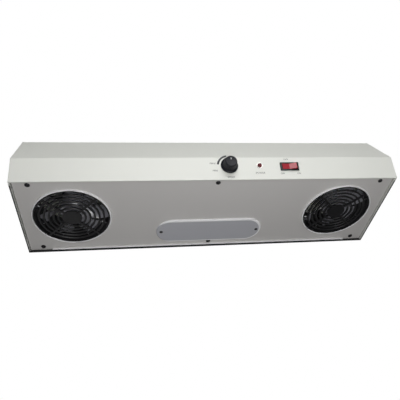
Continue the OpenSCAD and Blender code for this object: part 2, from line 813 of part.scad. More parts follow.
module blade() {
    row = blade_chords + 1;
    per_side = row * (blade_spans + 1);
    points = [for (side = [1, -1], i = [0:blade_spans], j = [0:blade_chords]) blade_point(i, j, side)];
    skins = [for (s = [0, 1], i = [0:blade_spans - 1], j = [0:blade_chords - 1])
        let (a = s * per_side + i * row + j, q = [a, a + row, a + row + 1, a + 1])
        s == 0 ? [q[3], q[2], q[1], q[0]] : q];
    ends = [for (i = [0, blade_spans], j = [0:blade_chords - 1])
        let (a = i * row + j, q = [a, a + 1, a + 1 + per_side, a + per_side])
        i == 0 ? [q[3], q[2], q[1], q[0]] : q];
    edges = [for (j = [0, blade_chords], i = [0:blade_spans - 1])
        let (a = i * row + j, q = [a, a + per_side, a + row + per_side, a + row])
        j == 0 ? [q[3], q[2], q[1], q[0]] : q];
    polyhedron(points, concat(skins, ends, edges));
}

blade_phase = [10, 0, 37];

module fan_rotor(side) color(black) place() at_fan_base(side) {
    difference() {
        union() {
            translate([0, 0, hub_z0]) cylinder(r = hub_r, h = hub_top - 1.5 - hub_z0);
            translate([0, 0, hub_top - 1.5]) cylinder(r1 = hub_r, r2 = hub_r - 1.5, h = 1.5);
        }
        translate([0, 0, hub_z0 - 1]) cylinder(r = hub_r - hub_wall, h = hub_top - hub_cap - hub_z0 + 1);
        translate([0, 0, hub_z0]) cylinder(r = rotor_shaft_r + eps, h = hub_top - hub_z0 - 1);
    }
    for (i = [0:blades - 1]) rotate(i * 360 / blades + blade_phase[side + 1]) blade();
}
module left_fan_rotor() fan_rotor(-1);
module right_fan_rotor() fan_rotor(1);

module rotor_shaft(side) color(zinc) place() at_fan_base(side)
    translate([0, 0, cup_t + 0.4]) cylinder(r = rotor_shaft_r, h = hub_top - 1 - cup_t - 0.4);
module left_rotor_shaft() rotor_shaft(-1);
module right_rotor_shaft() rotor_shaft(1);

// Studs clinched to the panel; guard, emitter ring and fan are stacked on them
module fan_studs() color(zinc) place() for (side = fan_signs)
    at_fan(side) translate([0, 0, panel_top]) corners(fan_pitch)
        cylinder(r = stud_r, h = fan_top + nut_h + 2 - panel_top);

module fan_nuts() color(zinc) place() for (side = fan_signs)
    at_fan(side) translate([0, 0, fan_top]) corners(fan_pitch)
        nut(nut_af, nut_h, stud_r + thread_clear);

// ---- Intake grilles ----

module intake_grille(side) color(paint) place() at_fan(side) translate([0, 0, body_h])
    linear_extrude(grille_t) difference() {
        rounded_square(grille_w, 5);
        corners(grille_pitch) circle(small_screw_r + screw_clear);
        for (i = [0:slot_cols - 1], j = [0:slot_rows - 1])
            translate([(i - (slot_cols - 1) / 2) * (slot_l + 5), (j - (slot_rows - 1) / 2) * slot_pitch])
                stadium(slot_l, slot_w);
    }
module left_intake_grille() intake_grille(-1);
module right_intake_grille() intake_grille(1);

module intake_grille_screws() color(zinc) place() for (side = fan_signs)
    at_fan(side) translate([0, 0, body_h + grille_t]) corners(grille_pitch) rotate([180, 0, 0])
        screw(small_screw_r, small_head_r, small_head_h, grille_t + sheet_t + small_nut_h + 1);

module intake_grille_nuts() color(zinc) place() for (side = fan_signs)
    at_fan(side) translate([0, 0, top_in - small_nut_h]) corners(grille_pitch)
        nut(small_nut_af, small_nut_h, small_screw_r + thread_clear);

// ---- Hanging points and earth stud ----

hang_body_r = 4.4;
hang_flange_r = 6.5;
hang_flange_t = 1;
hang_l = 14;

module hanging_points() for (sx = [-1, 1], sy = [-1, 1])
    translate([sx * hang_x / 2, fan_y + sy * hang_y / 2, body_h]) children();

module hanging_nuts() color(zinc) place() hanging_points() difference() {
    union() {
        cylinder(r = hang_flange_r, h = hang_flange_t);
        translate([0, 0, -hang_l]) cylinder(r = hang_body_r, h = hang_l);
        translate([0, 0, -sheet_t - 2.5]) cylinder(r = hang_body_r + 1.2, h = 2.5);
    }
    translate([0, 0, -hang_l - 1]) cylinder(r = hang_bore_r, h = hang_l + hang_flange_t + 2);
}

earth_x = 184;
earth_z = 78;
module earth_stud() color(brass) place() translate([earth_x, wall_in, earth_z]) rotate([90, 0, 0]) {
    cylinder(r = stud_r, h = 14);
    translate([0, 0, 0.01]) cylinder(r = nut_af / 2 / cos(30), h = nut_h, $fn = 6);
}

// ---- Supplies, board and leads ----

supply_screw_x = supply_l / 2 - 12;
supply_round = 4;
supply_well = 6;

// Potted block with ribs on its face and an insulated outlet at each end
module high_voltage_supply() color(black) place() difference() {
    translate([supply_x, 0, supply_z]) union() {
        translate([0, wall_in, supply_h / 2]) rotate([90, 0, 0]) linear_extrude(supply_d)
            rounded_outline([[-supply_l / 2, -supply_h / 2], [supply_l / 2, -supply_h / 2],
                [supply_l / 2, supply_h / 2], [-supply_l / 2, supply_h / 2]],
                [supply_round, supply_round, supply_round, supply_round]);
        for (s = [-1, 1]) translate([s * supply_l / 2, wall_in - supply_d / 2, supply_well + 6])
            rotate([0, s * 90, 0]) cylinder(r1 = 5, r2 = 3.6, h = supply_well);
        for (i = [-3:3]) translate([i * 12 - 1, wall_in - supply_d - 1.5, 8]) cube([2, 2, supply_h - 16]);
    }
    for (s = [-1, 1]) at_back(supply_x + s * supply_screw_x, supply_z + supply_h / 2)
        translate([0, 0, -sheet_t - 10]) cylinder(r = small_screw_r + thread_clear, h = 10 + sheet_t);
}

module supply_screws() color(zinc) place() for (s = [-1, 1])
    at_back(supply_x + s * supply_screw_x, supply_z + supply_h / 2) rotate([180, 0, 0])
        screw(small_screw_r, small_head_r, small_head_h, sheet_t + 8);

supply_out_y = wall_in - supply_d / 2;
supply_out_z = supply_z + supply_well + 6;
ring_side_x = fan_x - fan_w / 2;

module left_high_voltage_lead() color("firebrick") place()
    lead([[supply_x - supply_l / 2 - supply_well, supply_out_y, supply_out_z],
        [-132, supply_out_y, supply_out_z], [-132, supply_out_y, needle_z],
        [-132, fan_y, needle_z], [-ring_side_x, fan_y, needle_z]], lead_r, lead_bend_r);

module right_high_voltage_lead() color("firebrick") place()
    lead([[supply_x + supply_l / 2 + supply_well, supply_out_y, supply_out_z],
        [-1, supply_out_y, supply_out_z], [-1, supply_out_y, needle_z],
        [-1, fan_y, needle_z], [ring_side_x, fan_y, needle_z]], lead_r, lead_bend_r);

// Holes near the board's corners, in the board's own plane
module board_holes() for (sx = [-1, 1], z = [board_hole_in, board_h - board_hole_in])
    translate([board_x + sx * (board_l / 2 - board_hole_in), 0, board_z + z]) children();

module control_board() color("seagreen") place() difference() {
    translate([board_x - board_l / 2, board_y0, board_z]) cube([board_l, board_t, board_h]);
    board_holes() translate([0, board_y1 + 1, 0]) rotate([90, 0, 0])
        cylinder(r = small_screw_r + screw_clear, h = board_t + 2);
}

// Parts on the board's front: transformer, capacitors, heat sink, terminal block, relay
module board_components() color("dimgray") place() translate([board_x, board_y0, board_z]) {
    translate([-44, -24, 14]) cube([30, 24, 26]);
    translate([-47, -16, 18]) cube([36, 16, 18]);
    for (p = [[6, 46, 5.5, 20], [20, 47, 4.5, 16], [-4, 20, 4, 13]]) translate([p[0], 0, p[1]])
        rotate([90, 0, 0]) cylinder(r = p[2], h = p[3]);
    translate([30, -3, 16]) cube([16, 3, 34]);
    for (i = [0:4]) translate([30 + i * 3.6, -14, 16]) cube([1.6, 12, 34]);
    translate([8, -9, 18]) cube([18, 9, 14]);
    translate([-24, -terminal_block_d, 1]) difference() {
        cube([56, terminal_block_d, 10]);
        for (i = [0:5]) translate([4.8 + i * 9.3, 4, 6]) cylinder(r = 1.8, h = 6);
    }
}

module board_standoffs() color(zinc) place() board_holes() translate([0, wall_in, 0])
    rotate([90, 0, 0]) ring(3, small_screw_r + thread_clear, standoff_l);

module board_screws() color(zinc) place() board_holes() translate([0, board_y0, 0])
    rotate([-90, 0, 0]) screw(small_screw_r, small_head_r, small_head_h, board_t + 5);

block_z = board_z + 6;
block_x = 24;

// A fan's lead runs from the frame's barrel to the board's terminal block
module fan_lead(side) color("gray") place()
    lead([[side * ring_side_x, fan_y, block_z], [board_x + side * block_x, fan_y, block_z],
        [board_x + side * block_x, block_y, block_z]], lead_r, lead_bend_r);
module left_fan_lead() fan_lead(-1);
module right_fan_lead() fan_lead(1);

pot_back = on_face(knob_s, sheet_t + pot_d);
lamp_back = on_face(knob_s, sheet_t + 10);
control_lead_y = 84;
control_lead_r = 1;
lead_gap = 0.6;

module control_leads() color("gray") place() {
    lead([[knob_x, pot_back[0] + lead_gap, pot_back[1]], [knob_x, control_lead_y, pot_back[1]],
        [board_x + 2, control_lead_y, pot_back[1]], [board_x + 2, control_lead_y, board_z + 54],
        [board_x + 2, board_y0, board_z + 54]], control_lead_r, lead_bend_r);
    lead([[lamp_x, lamp_back[0] + lead_gap, lamp_back[1]], [lamp_x, control_lead_y + 6, lamp_back[1]],
        [lamp_x, control_lead_y + 6, board_z + 54], [lamp_x, board_y0, board_z + 54]],
        control_lead_r, lead_bend_r);
}

// ---- Speed control ----

bushing_r = 3.5;
bushing_l = 7;
pot_nut_af = 10;
pot_nut_h = 2;

module speed_potentiometer() color(dark_steel) place() at_face(knob_x, knob_s) difference() {
    union() {
        translate([0, 0, -sheet_t - pot_d]) cylinder(r = pot_r, h = pot_d);
        translate([0, 0, -sheet_t]) cylinder(r = bushing_r, h = sheet_t + bushing_l);
        translate([-pot_r * 0.8, -pot_r - 4, -sheet_t - 6]) cube([pot_r * 1.6, pot_r, 1.6]);
    }
    translate([0, 0, -sheet_t - pot_d + 2]) cylinder(r = pot_shaft_r + 0.05, h = pot_d + bushing_l + 4);
}

module potentiometer_nut() color(zinc) place() at_face(knob_x, knob_s)
    nut(pot_nut_af, pot_nut_h, bushing_r + thread_clear);

module potentiometer_shaft() color(zinc) place() at_face(knob_x, knob_s)
    translate([0, 0, -sheet_t - pot_d + 2.4]) cylinder(r = pot_shaft_r, h = sheet_t + pot_d - 2.4 + knob_h - 3);

// Skirted knob: conical grip on a flat skirt, hollow under the skirt, with a cut pointer line
module speed_knob() color(black) place() at_face(knob_x, knob_s) difference() {
    rotate_extrude() difference() {
        union() {
            polygon([[0, knob_lift], [knob_skirt_r - 0.5, knob_lift], [knob_skirt_r, knob_lift + 0.5],
                [knob_skirt_r, knob_lift + 1.6], [knob_r + 0.6, knob_lift + 3.2],
                [knob_r, knob_lift + 4.4], [knob_top_r, knob_h - knob_edge_r],
                [knob_top_r - knob_edge_r, knob_h], [0, knob_h]]);
            translate([knob_top_r - knob_edge_r, knob_h - knob_edge_r]) circle(knob_edge_r);
        }
        translate([-knob_edge_r, 0]) square([knob_edge_r, knob_h]);
        translate([0, 0]) square([bushing_r + 4, bushing_l + 0.6]);
        translate([0, 0]) square([pot_shaft_r, knob_h - 3]);
    }
    translate([-0.6, knob_top_r * 0.35, knob_h - 0.7]) cube([1.2, knob_top_r, 2]);
    translate([-0.6, knob_r + 1.2, knob_lift + 2.2]) cube([1.2, knob_skirt_r, 2]);
}

// ---- Indicator lamp ----

lamp_tube_r = lamp_r + 0.7;
lamp_flange_r = lamp_r + 1.2;

module indicator_bezel() color(dark_steel) place() at_face(lamp_x, knob_s) difference() {
    union() {
        cylinder(r1 = lamp_flange_r, r2 = lamp_flange_r - 0.4, h = 1.2);
        translate([0, 0, -sheet_t - 6]) cylinder(r = lamp_tube_r, h = sheet_t + 6);
    }
    translate([0, 0, -sheet_t - 7]) cylinder(r = lamp_r, h = sheet_t + 12);
}

module indicator_lens() color("darkred") place() at_face(lamp_x, knob_s) {
    translate([0, 0, -sheet_t - 10]) cylinder(r = lamp_r - 0.02, h = sheet_t + 11);
    translate([0, 0, 1]) intersection() {
        translate([0, 0, 0]) sphere(lamp_r - 0.02);
        translate([0, 0, lamp_r]) cube(2 * lamp_r, center = true);
    }
}

// ---- Rocker switch ----

module switch_body() color(black) place() at_face(switch_x, switch_s) difference() {
    union() {
        bezel_section = [[-switch_l / 2, 0], [switch_l / 2, 0], [switch_l / 2 - 0.8, switch_bezel_t],
            [-switch_l / 2 + 0.8, switch_bezel_t]];
        rotate([90, 0, 0]) translate([0, 0, -switch_w / 2]) linear_extrude(switch_w) polygon(bezel_section);
        translate([0, 0, -switch_depth / 2]) cube([switch_body_l, switch_body_w, switch_depth], center = true);
    }
    translate([0, 0, switch_bezel_t - (switch_bezel_t + 9) / 2 + 1])
        cube([2 * (rocker_half_l + rocker_clear), rocker_w + 2 * rocker_clear, switch_bezel_t + 11],
            center = true);
    translate([0, 0, rocker_pivot]) rotate([90, 0, 0])
        cylinder(r = trunnion_r + 0.06, h = switch_body_w + 4, center = true);
}

module switch_terminals() color(brass) place() at_face(switch_x, switch_s)
    for (x = [-9, 0, 9]) translate([x, 0, -switch_depth - terminal_l / 2])
        difference() {
            cube([0.8, 6.3, terminal_l], center = true);
            rotate([0, 90, 0]) cylinder(r = 0.8, h = 4, center = true);
        }

// Section of the rocker across its pivot: ends that follow the pivot's circle, dipped top
module rocker_section() intersection() {
    circle(rocker_half_l);
    polygon([[-rocker_half_l - 1, -rocker_depth + 1], [-4, -rocker_depth], [4, -rocker_depth],
        [rocker_half_l + 1, -rocker_depth + 1], [rocker_half_l + 1, rocker_end_h + 1.1],
        [0, rocker_mid_h + 1], [-rocker_half_l - 1, rocker_end_h + 1.1]]);
}

module rocker_button() color("crimson") place() at_face(switch_x, switch_s)
    translate([0, 0, rocker_pivot]) rotate([0, -rocker_throw / 2, 0]) {
        rotate([90, 0, 0]) translate([0, 0, -rocker_w / 2]) linear_extrude(rocker_w) rocker_section();
        rotate([90, 0, 0]) cylinder(r = trunnion_r, h = rocker_w + 2 * rocker_clear + 1.2, center = true);
    }

// ---- Power inlet ----

module inlet_mouth() {
    w = inlet_mouth_l / 2;
    h = inlet_mouth_h / 2;
    polygon([[-w, h], [w, h], [w, -h + inlet_chamfer], [w - inlet_chamfer, -h],
        [-w + inlet_chamfer, -h], [-w, -h + inlet_chamfer]]);
}

module power_inlet() color(black) place() at_back(inlet_x, inlet_z) difference() {
    union() {
        linear_extrude(inlet_flange_t) difference() {
            hull_free_flange();
            for (s = [-1, 1]) translate([s * inlet_screw_pitch / 2, 0]) circle(small_screw_r + screw_clear);
        }
        translate([0, 0, inlet_flange_t / 2 - inlet_depth / 2])
            cube([inlet_body_l, inlet_body_h, inlet_depth + inlet_flange_t], center = true);
    }
    translate([0, 0, inlet_flange_t - inlet_mouth_d]) linear_extrude(inlet_mouth_d + 1) inlet_mouth();
    for (p = inlet_pin_places) translate([p[0], p[1], -inlet_depth / 2])
        cube([inlet_pin_w, inlet_pin_h, inlet_depth * 2], center = true);
}

// Flange outline: a rectangle with its four corners cut back
module hull_free_flange() {
    w = inlet_flange_l / 2;
    h = inlet_flange_h / 2;
    cut = 6;
    polygon([[-w, -h + cut], [-w + cut, -h], [w - cut, -h], [w, -h + cut], [w, h - cut],
        [w - cut, h], [-w + cut, h], [-w, h - cut]]);
}

inlet_pin_places = [[-7, 2], [7, 2], [0, -2]];

module inlet_pins() color(brass) place() at_back(inlet_x, inlet_z)
    for (p = inlet_pin_places)
        translate([p[0], p[1], inlet_flange_t - inlet_mouth_d + inlet_pin_l
            - (inlet_pin_l + inlet_depth - inlet_mouth_d + inlet_flange_t + inlet_tail) / 2])
            cube([inlet_pin_w, inlet_pin_h,
                inlet_pin_l + inlet_depth - inlet_mouth_d + inlet_flange_t + inlet_tail], center = true);

module inlet_screws() color(zinc) place() at_back(inlet_x, inlet_z)
    for (s = [-1, 1]) translate([s * inlet_screw_pitch / 2, 0, inlet_flange_t]) {
        rotate([180, 0, 0]) screw(small_screw_r, small_head_r, small_head_h,
            inlet_flange_t + sheet_t + small_nut_h + 1);
        translate([0, 0, -inlet_flange_t - sheet_t - small_nut_h])
            nut(small_nut_af, small_nut_h, small_screw_r);
    }

terminal_tip = on_face(switch_s, switch_depth + terminal_l);
inlet_tail_y = base_d - inlet_depth - inlet_tail - 0.3;

module mains_lead() color("dimgray") place()
    lead([[inlet_x, inlet_tail_y, inlet_z + 2], [inlet_x, 60, inlet_z + 2],
        [switch_x, 60, inlet_z + 2], [switch_x, 60, terminal_tip[1]],
        [switch_x, terminal_tip[0] + lead_gap + 0.5, terminal_tip[1]]], lead_r + 0.7, lead_bend_r);

housing_cover();
left_end_plate();
right_end_plate();
end_plate_rivets();
front_panel_rail();
rear_panel_rail();
bottom_panel();
panel_screws();
access_cover();
access_cover_screws();
access_cover_nuts();
left_finger_guard();
right_finger_guard();
left_emitter_ring();
right_emitter_ring();
left_emitter_needles();
right_emitter_needles();
left_fan_frame();
right_fan_frame();
left_fan_stator();
right_fan_stator();
left_fan_bearings();
right_fan_bearings();
left_fan_rotor();
right_fan_rotor();
left_rotor_shaft();
right_rotor_shaft();
fan_studs();
fan_nuts();
left_intake_grille();
right_intake_grille();
intake_grille_screws();
intake_grille_nuts();
high_voltage_supply();
supply_screws();
left_high_voltage_lead();
right_high_voltage_lead();
control_board();
board_components();
board_standoffs();
board_screws();
left_fan_lead();
right_fan_lead();
control_leads();
speed_potentiometer();
potentiometer_nut();
potentiometer_shaft();
speed_knob();
indicator_bezel();
indicator_lens();
switch_body();
switch_terminals();
rocker_button();
power_inlet();
inlet_pins();
inlet_screws();
mains_lead();
hanging_nuts();
earth_stud();
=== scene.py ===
"""Finishes for an overhead ionizing blower: paint, moulded plastic, plated steel and printed marks.

Run as a script in Blender 4.5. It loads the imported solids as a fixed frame, dresses every piece,
adds the pieces that are only seen (the fluted knob with its pointer, the printed scale and the
captions) and sets the stage.
"""

import json
import math

import bmesh
import bpy
from bpy.props import FloatProperty, FloatVectorProperty, IntProperty, PointerProperty
from mathutils import Matrix, Vector


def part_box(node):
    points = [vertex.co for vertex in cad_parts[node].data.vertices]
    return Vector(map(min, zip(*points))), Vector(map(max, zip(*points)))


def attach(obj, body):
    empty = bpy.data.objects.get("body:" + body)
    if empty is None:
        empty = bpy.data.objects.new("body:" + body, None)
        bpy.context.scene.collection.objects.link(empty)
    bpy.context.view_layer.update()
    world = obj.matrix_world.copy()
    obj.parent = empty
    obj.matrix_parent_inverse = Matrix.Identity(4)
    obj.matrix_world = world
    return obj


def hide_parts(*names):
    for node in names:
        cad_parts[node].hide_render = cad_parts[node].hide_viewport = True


bl_info = {
    "name": "Overhead Blower Finishes",
    "version": (1, 0, 0),
    "blender": (4, 5, 0),
    "location": "3D View > Sidebar > Blower",
    "description": "Finishes, seen-only pieces and stage for an overhead ionizing blower",
    "category": "Object",
}

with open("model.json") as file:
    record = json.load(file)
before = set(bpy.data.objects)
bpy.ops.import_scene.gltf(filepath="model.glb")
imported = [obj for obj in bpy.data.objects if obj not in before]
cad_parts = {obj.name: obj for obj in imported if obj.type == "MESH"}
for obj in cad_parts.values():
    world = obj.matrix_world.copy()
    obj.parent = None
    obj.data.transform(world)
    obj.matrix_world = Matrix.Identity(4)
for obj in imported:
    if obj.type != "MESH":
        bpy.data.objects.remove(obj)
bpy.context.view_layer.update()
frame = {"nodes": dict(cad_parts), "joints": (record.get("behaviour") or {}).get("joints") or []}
NODES = frame["nodes"]
JOINTS = {joint["name"]: joint for joint in frame["joints"]}
HOUSING = "housing"


# ---- Sizes and colours that can be changed ----


def paint_prop(name, description, default):
    return FloatVectorProperty(name=name, description=description, default=default, subtype="COLOR",
                               min=0.0, max=1.0, size=3)


def length_prop(name, description, default, low, high, digits=4):
    return FloatProperty(name=name, description=description, default=default, min=low, max=high,
                         subtype="DISTANCE", unit="LENGTH", precision=digits)


def power_prop(name, description, default):
    return FloatProperty(name=name, description=description, default=default, min=0.0, max=200.0,
                         unit="POWER")


def level_prop(name, description, default, high):
    return FloatProperty(name=name, description=description, default=default, min=0.0, max=high)


class BlowerFinish(bpy.types.PropertyGroup):
    cover_paint: paint_prop("Cover paint", "Powder coat on the cover, end plates and grilles",
                            (0.735, 0.745, 0.700))
    # Darker and greyer than the cover paint; the difference is partly painted shade of the downward-facing
    # panel.
    panel_paint: paint_prop("Panel paint", "Powder coat on the base panel", (0.640, 0.625, 0.610))
    hatch_paint: paint_prop("Hatch paint", "Powder coat on the rounded access cover", (0.500, 0.505, 0.540))
    # Painted highlight: a pale colour on the collars' tips and round the access cover's edge, standing in for
    # the light their rounded edges catch.
    edge_highlight_paint: paint_prop("Edge highlight", "Coat where it thins over a pressed edge", (0.93, 0.93, 0.94))
    # Painted shade: a dark colour on the cut lower edges and the foot of the rear wall's inner side, standing
    # in for the shade in the gaps round the base panel.
    edge_shade_paint: paint_prop("Edge shade", "Dark line along the cover's cut lower edge", (0.018, 0.018, 0.020))
    guard_moulding: paint_prop("Guards", "Colour of the finger guards", (0.009, 0.009, 0.010))
    ring_moulding: paint_prop("Rings", "Colour of the emitter rings and fan frames", (0.018, 0.018, 0.020))
    # Painted reflection: a grey lighter than the rotors' black glossy plastic, standing in for the light
    # their blades reflect.
    rotor_sheen_grey: paint_prop("Rotors", "Colour of the fan rotors", (0.36, 0.36, 0.40))
    knob_moulding: paint_prop("Knob", "Colour of the speed knob", (0.004, 0.005, 0.009))
    rocker_plastic: paint_prop("Rocker", "Colour of the rocker switch's button", (0.42, 0.010, 0.026))
    lens_plastic: paint_prop("Lens", "Colour of the indicator lamp's lens", (0.189, 0.0045, 0.0117))
    print_ink: paint_prop("Print", "Ink of the scale and the captions", (0.030, 0.032, 0.036))
    coat_roughness: level_prop("Coat roughness", "Roughness of the powder coat", 0.46, 1.0)
    peel_depth: length_prop("Peel depth", "Depth of the coat's orange peel", 0.00005, 0.0, 0.001, 6)


class BlowerPieces(bpy.types.PropertyGroup):
    flutes: IntProperty(name="Flutes", description="Number of flutes round the knob's grip", default=24,
                        min=8, max=48)
    flute_depth: length_prop("Flute depth", "Depth of the knob's flutes", 0.00045, 0.0, 0.002, 5)
    pointer_width: length_prop("Pointer width", "Width of the knob's pointer line", 0.0011, 0.0003, 0.003)
    print_lift: length_prop("Print lift", "Thickness of the printed ink", 0.00005, 0.00001, 0.0003, 5)
    scale_radius: length_prop("Scale radius", "Inner radius of the printed speed scale", 0.0163, 0.014, 0.03)
    scale_wide: length_prop("Scale wide end", "Width of the scale at its start", 0.0034, 0.0005, 0.008)
    scale_narrow: length_prop("Scale narrow end", "Width of the scale at its end", 0.0024, 0.0002, 0.008)
    caption_height: length_prop("Caption height", "Height of the printed captions", 0.0032, 0.001, 0.01)


class BlowerStage(bpy.types.PropertyGroup):
    floor_drop: length_prop("Floor drop", "Height of the blower above the floor", 1.3, 0.6, 4.0, 2)
    key_power: power_prop("Key power", "Power of the softbox below the front edge", 3.4)
    front_power: power_prop("Front power", "Power of the softbox in front", 3.85)
    top_power: power_prop("Top power", "Power of the softbox above and behind", 20.0)
    back_power: power_prop("Back power", "Power of the low softbox behind", 0.9)
    side_power: power_prop("Side power", "Power of the softbox beyond each end", 9.0)
    ambient: level_prop("Ambient", "Strength of the even light from all round", 0.06, 2.0)
    front_mirrored: level_prop("Front mirrored", "Strength of the front half where mirrored", 0.18, 2.0)


# ---- Shader groups ----


def new_group(name, inputs, outputs):
    """A shader node group with its sockets; returns the tree, its input node and its output node."""
    group = bpy.data.node_groups.new(name, "ShaderNodeTree")
    for label, kind, value in inputs:
        socket = group.interface.new_socket(name=label, in_out="INPUT", socket_type=kind)
        socket.default_value = value
    for label, kind in outputs:
        group.interface.new_socket(name=label, in_out="OUTPUT", socket_type=kind)
    return group, group.nodes.new("NodeGroupInput"), group.nodes.new("NodeGroupOutput")


class Wiring:
    """Short words for placing and joining nodes in one tree."""

    def __init__(self, tree):
        self.tree = tree

    def join(self, source, target):
        self.tree.links.new(source, target)

    def feed(self, value, socket):
        if isinstance(value, bpy.types.NodeSocket):
            self.join(value, socket)
        elif value is not None:
            socket.default_value = value

    def place_by_object(self):
        return self.tree.nodes.new("ShaderNodeTexCoord").outputs["Object"]

    def noise(self, scale, detail=2.0, roughness=0.5, vector=None):
        node = self.tree.nodes.new("ShaderNodeTexNoise")
        self.feed(scale, node.inputs["Scale"])
        node.inputs["Detail"].default_value = detail
        node.inputs["Roughness"].default_value = roughness
        self.join(vector or self.place_by_object(), node.inputs["Vector"])
        return node.outputs["Fac"]

    def stretched(self, scale):
        node = self.tree.nodes.new("ShaderNodeMapping")
        node.inputs["Scale"].default_value = scale
        self.join(self.place_by_object(), node.inputs["Vector"])
        return node.outputs["Vector"]

    def fit(self, value, low, high, to_low=0.0, to_high=1.0):
        node = self.tree.nodes.new("ShaderNodeMapRange")
        self.feed(value, node.inputs["Value"])
        for label, number in (("From Min", low), ("From Max", high), ("To Min", to_low), ("To Max", to_high)):
            self.feed(number, node.inputs[label])
        return node.outputs["Result"]

    def maths(self, operation, a, b=0.5):
        node = self.tree.nodes.new("ShaderNodeMath")
        node.operation = operation
        self.feed(a, node.inputs[0])
        self.feed(b, node.inputs[1])
        return node.outputs[0]

    def blend(self, factor, a, b, mode="MIX"):
        node = self.tree.nodes.new("ShaderNodeMix")
        node.data_type = "RGBA"
        node.blend_type = mode
        self.feed(factor, node.inputs[0])
        # the node's sockets for colours follow those for numbers and vectors
        self.feed(a, node.inputs[6])
        self.feed(b, node.inputs[7])
        return node.outputs[2]

    def tone(self, color, factor):
        """The colour made darker or lighter by a factor that varies over the surface."""
        node = self.tree.nodes.new("ShaderNodeVectorMath")
        node.operation = "SCALE"
        self.feed(color, node.inputs[0])
        self.feed(factor, node.inputs["Scale"])
        return node.outputs[0]

    def bump(self, height, distance, strength=1.0, normal=None):
        node = self.tree.nodes.new("ShaderNodeBump")
        node.inputs["Strength"].default_value = strength
        node.inputs["Distance"].default_value = distance
        self.join(height, node.inputs["Height"])
        if normal is not None:
            self.join(normal, node.inputs["Normal"])
        return node.outputs["Normal"]

    def soft_edge(self, radius):
        node = self.tree.nodes.new("ShaderNodeBevel")
        node.samples = 4
        node.inputs["Radius"].default_value = radius
        return node.outputs["Normal"]


def rgba(color):
    return (*color[:3], 1.0)


def coat_group():
    """Powder coat: orange peel, fine speckle, uneven gloss and a little settled dust."""
    group, given, out = new_group(
        "powder_coat",
        [("Color", "NodeSocketColor", (0.8, 0.8, 0.8, 1.0)), ("Dust", "NodeSocketFloat", 0.3),
         ("Gloss", "NodeSocketFloat", 0.45), ("Mottle", "NodeSocketFloat", 0.03)],
        [("Color", "NodeSocketColor"), ("Roughness", "NodeSocketFloat"), ("Height", "NodeSocketFloat")],
    )
    w = Wiring(group)
    peel = w.noise(520.0, 2.0, 0.45)
    speckle = w.noise(3400.0, 1.0)
    cloud = w.noise(7.0, 4.0, 0.6)
    shade = w.maths("ADD", w.maths("MULTIPLY", w.maths("SUBTRACT", cloud, 0.5), given.outputs["Mottle"]), 1.0)
    shade = w.maths("ADD", shade, w.fit(speckle, 0.3, 0.7, -0.012, 0.012))
    coat = w.tone(given.outputs["Color"], shade)
    facing = group.nodes.new("ShaderNodeNewGeometry")
    split = group.nodes.new("ShaderNodeSeparateXYZ")
    w.join(facing.outputs["Normal"], split.inputs[0])
    drifts = w.fit(w.noise(38.0, 5.0, 0.65), 0.40, 0.75)
    settled = w.maths("MULTIPLY", w.fit(split.outputs["Z"], 0.5, 1.0), drifts)
    settled = w.maths("MULTIPLY", settled, given.outputs["Dust"])
    w.join(w.blend(settled, coat, (0.42, 0.40, 0.36, 1.0)), out.inputs["Color"])
    gloss = w.maths("ADD", given.outputs["Gloss"], w.fit(cloud, 0.3, 0.7, -0.03, 0.05))
    w.join(w.maths("ADD", gloss, w.maths("MULTIPLY", settled, 0.35)), out.inputs["Roughness"])
    w.join(w.maths("ADD", peel, w.maths("MULTIPLY", speckle, 0.25)), out.inputs["Height"])
    return group


def moulded_group():
    """Moulded plastic: fine spark-eroded grain, faint flow marks and handling scuffs."""
    group, given, out = new_group(
        "moulded_plastic",
        [("Color", "NodeSocketColor", (0.02, 0.02, 0.02, 1.0)), ("Gloss", "NodeSocketFloat", 0.4),
         ("Scuff", "NodeSocketFloat", 0.2), ("Grain", "NodeSocketFloat", 1900.0)],
        [("Color", "NodeSocketColor"), ("Roughness", "NodeSocketFloat"), ("Height", "NodeSocketFloat")],
    )
    w = Wiring(group)
    grain = w.noise(given.outputs["Grain"], 2.0, 0.6)
    flow = w.noise(45.0, 3.0, 0.55)
    streak = w.noise(1.0, 4.0, 0.6, w.stretched((90.0, 900.0, 300.0)))
    scuff = w.maths("MULTIPLY", w.fit(streak, 0.60, 0.78), given.outputs["Scuff"])
    color = w.tone(given.outputs["Color"], w.fit(flow, 0.3, 0.7, 0.88, 1.12))
    w.join(w.blend(scuff, color, (0.22, 0.22, 0.22, 1.0)), out.inputs["Color"])
    rough = w.maths("ADD", given.outputs["Gloss"], w.fit(flow, 0.3, 0.7, -0.05, 0.06))
    w.join(w.maths("ADD", rough, w.maths("MULTIPLY", scuff, 0.3)), out.inputs["Roughness"])
    w.join(grain, out.inputs["Height"])
    return group


def worked_metal_group():
    """Drawn or plated metal: fine lines along one direction and cloudy plating."""
    group, given, out = new_group(
        "worked_metal",
        [("Color", "NodeSocketColor", (0.6, 0.6, 0.62, 1.0)),
         ("Tarnish", "NodeSocketColor", (0.4, 0.4, 0.42, 1.0)),
         ("Gloss", "NodeSocketFloat", 0.3), ("Lines", "NodeSocketFloat", 0.5)],
        [("Color", "NodeSocketColor"), ("Roughness", "NodeSocketFloat"), ("Height", "NodeSocketFloat")],
    )
    w = Wiring(group)
    lines = w.noise(1.0, 3.0, 0.6, w.stretched((400.0, 400.0, 5200.0)))
    cloud = w.noise(160.0, 4.0, 0.65)
    plating = w.blend(w.fit(cloud, 0.35, 0.7), given.outputs["Color"], given.outputs["Tarnish"])
    w.join(plating, out.inputs["Color"])
    rough = w.maths("ADD", given.outputs["Gloss"], w.fit(cloud, 0.3, 0.7, -0.06, 0.10))
    w.join(rough, out.inputs["Roughness"])
    w.join(w.maths("MULTIPLY", lines, given.outputs["Lines"]), out.inputs["Height"])
    return group


GROUPS = {}


def shader_group(name):
    makers = {"coat": coat_group, "moulded": moulded_group, "metal": worked_metal_group}
    if name not in GROUPS:
        GROUPS[name] = makers[name]()
    return GROUPS[name]


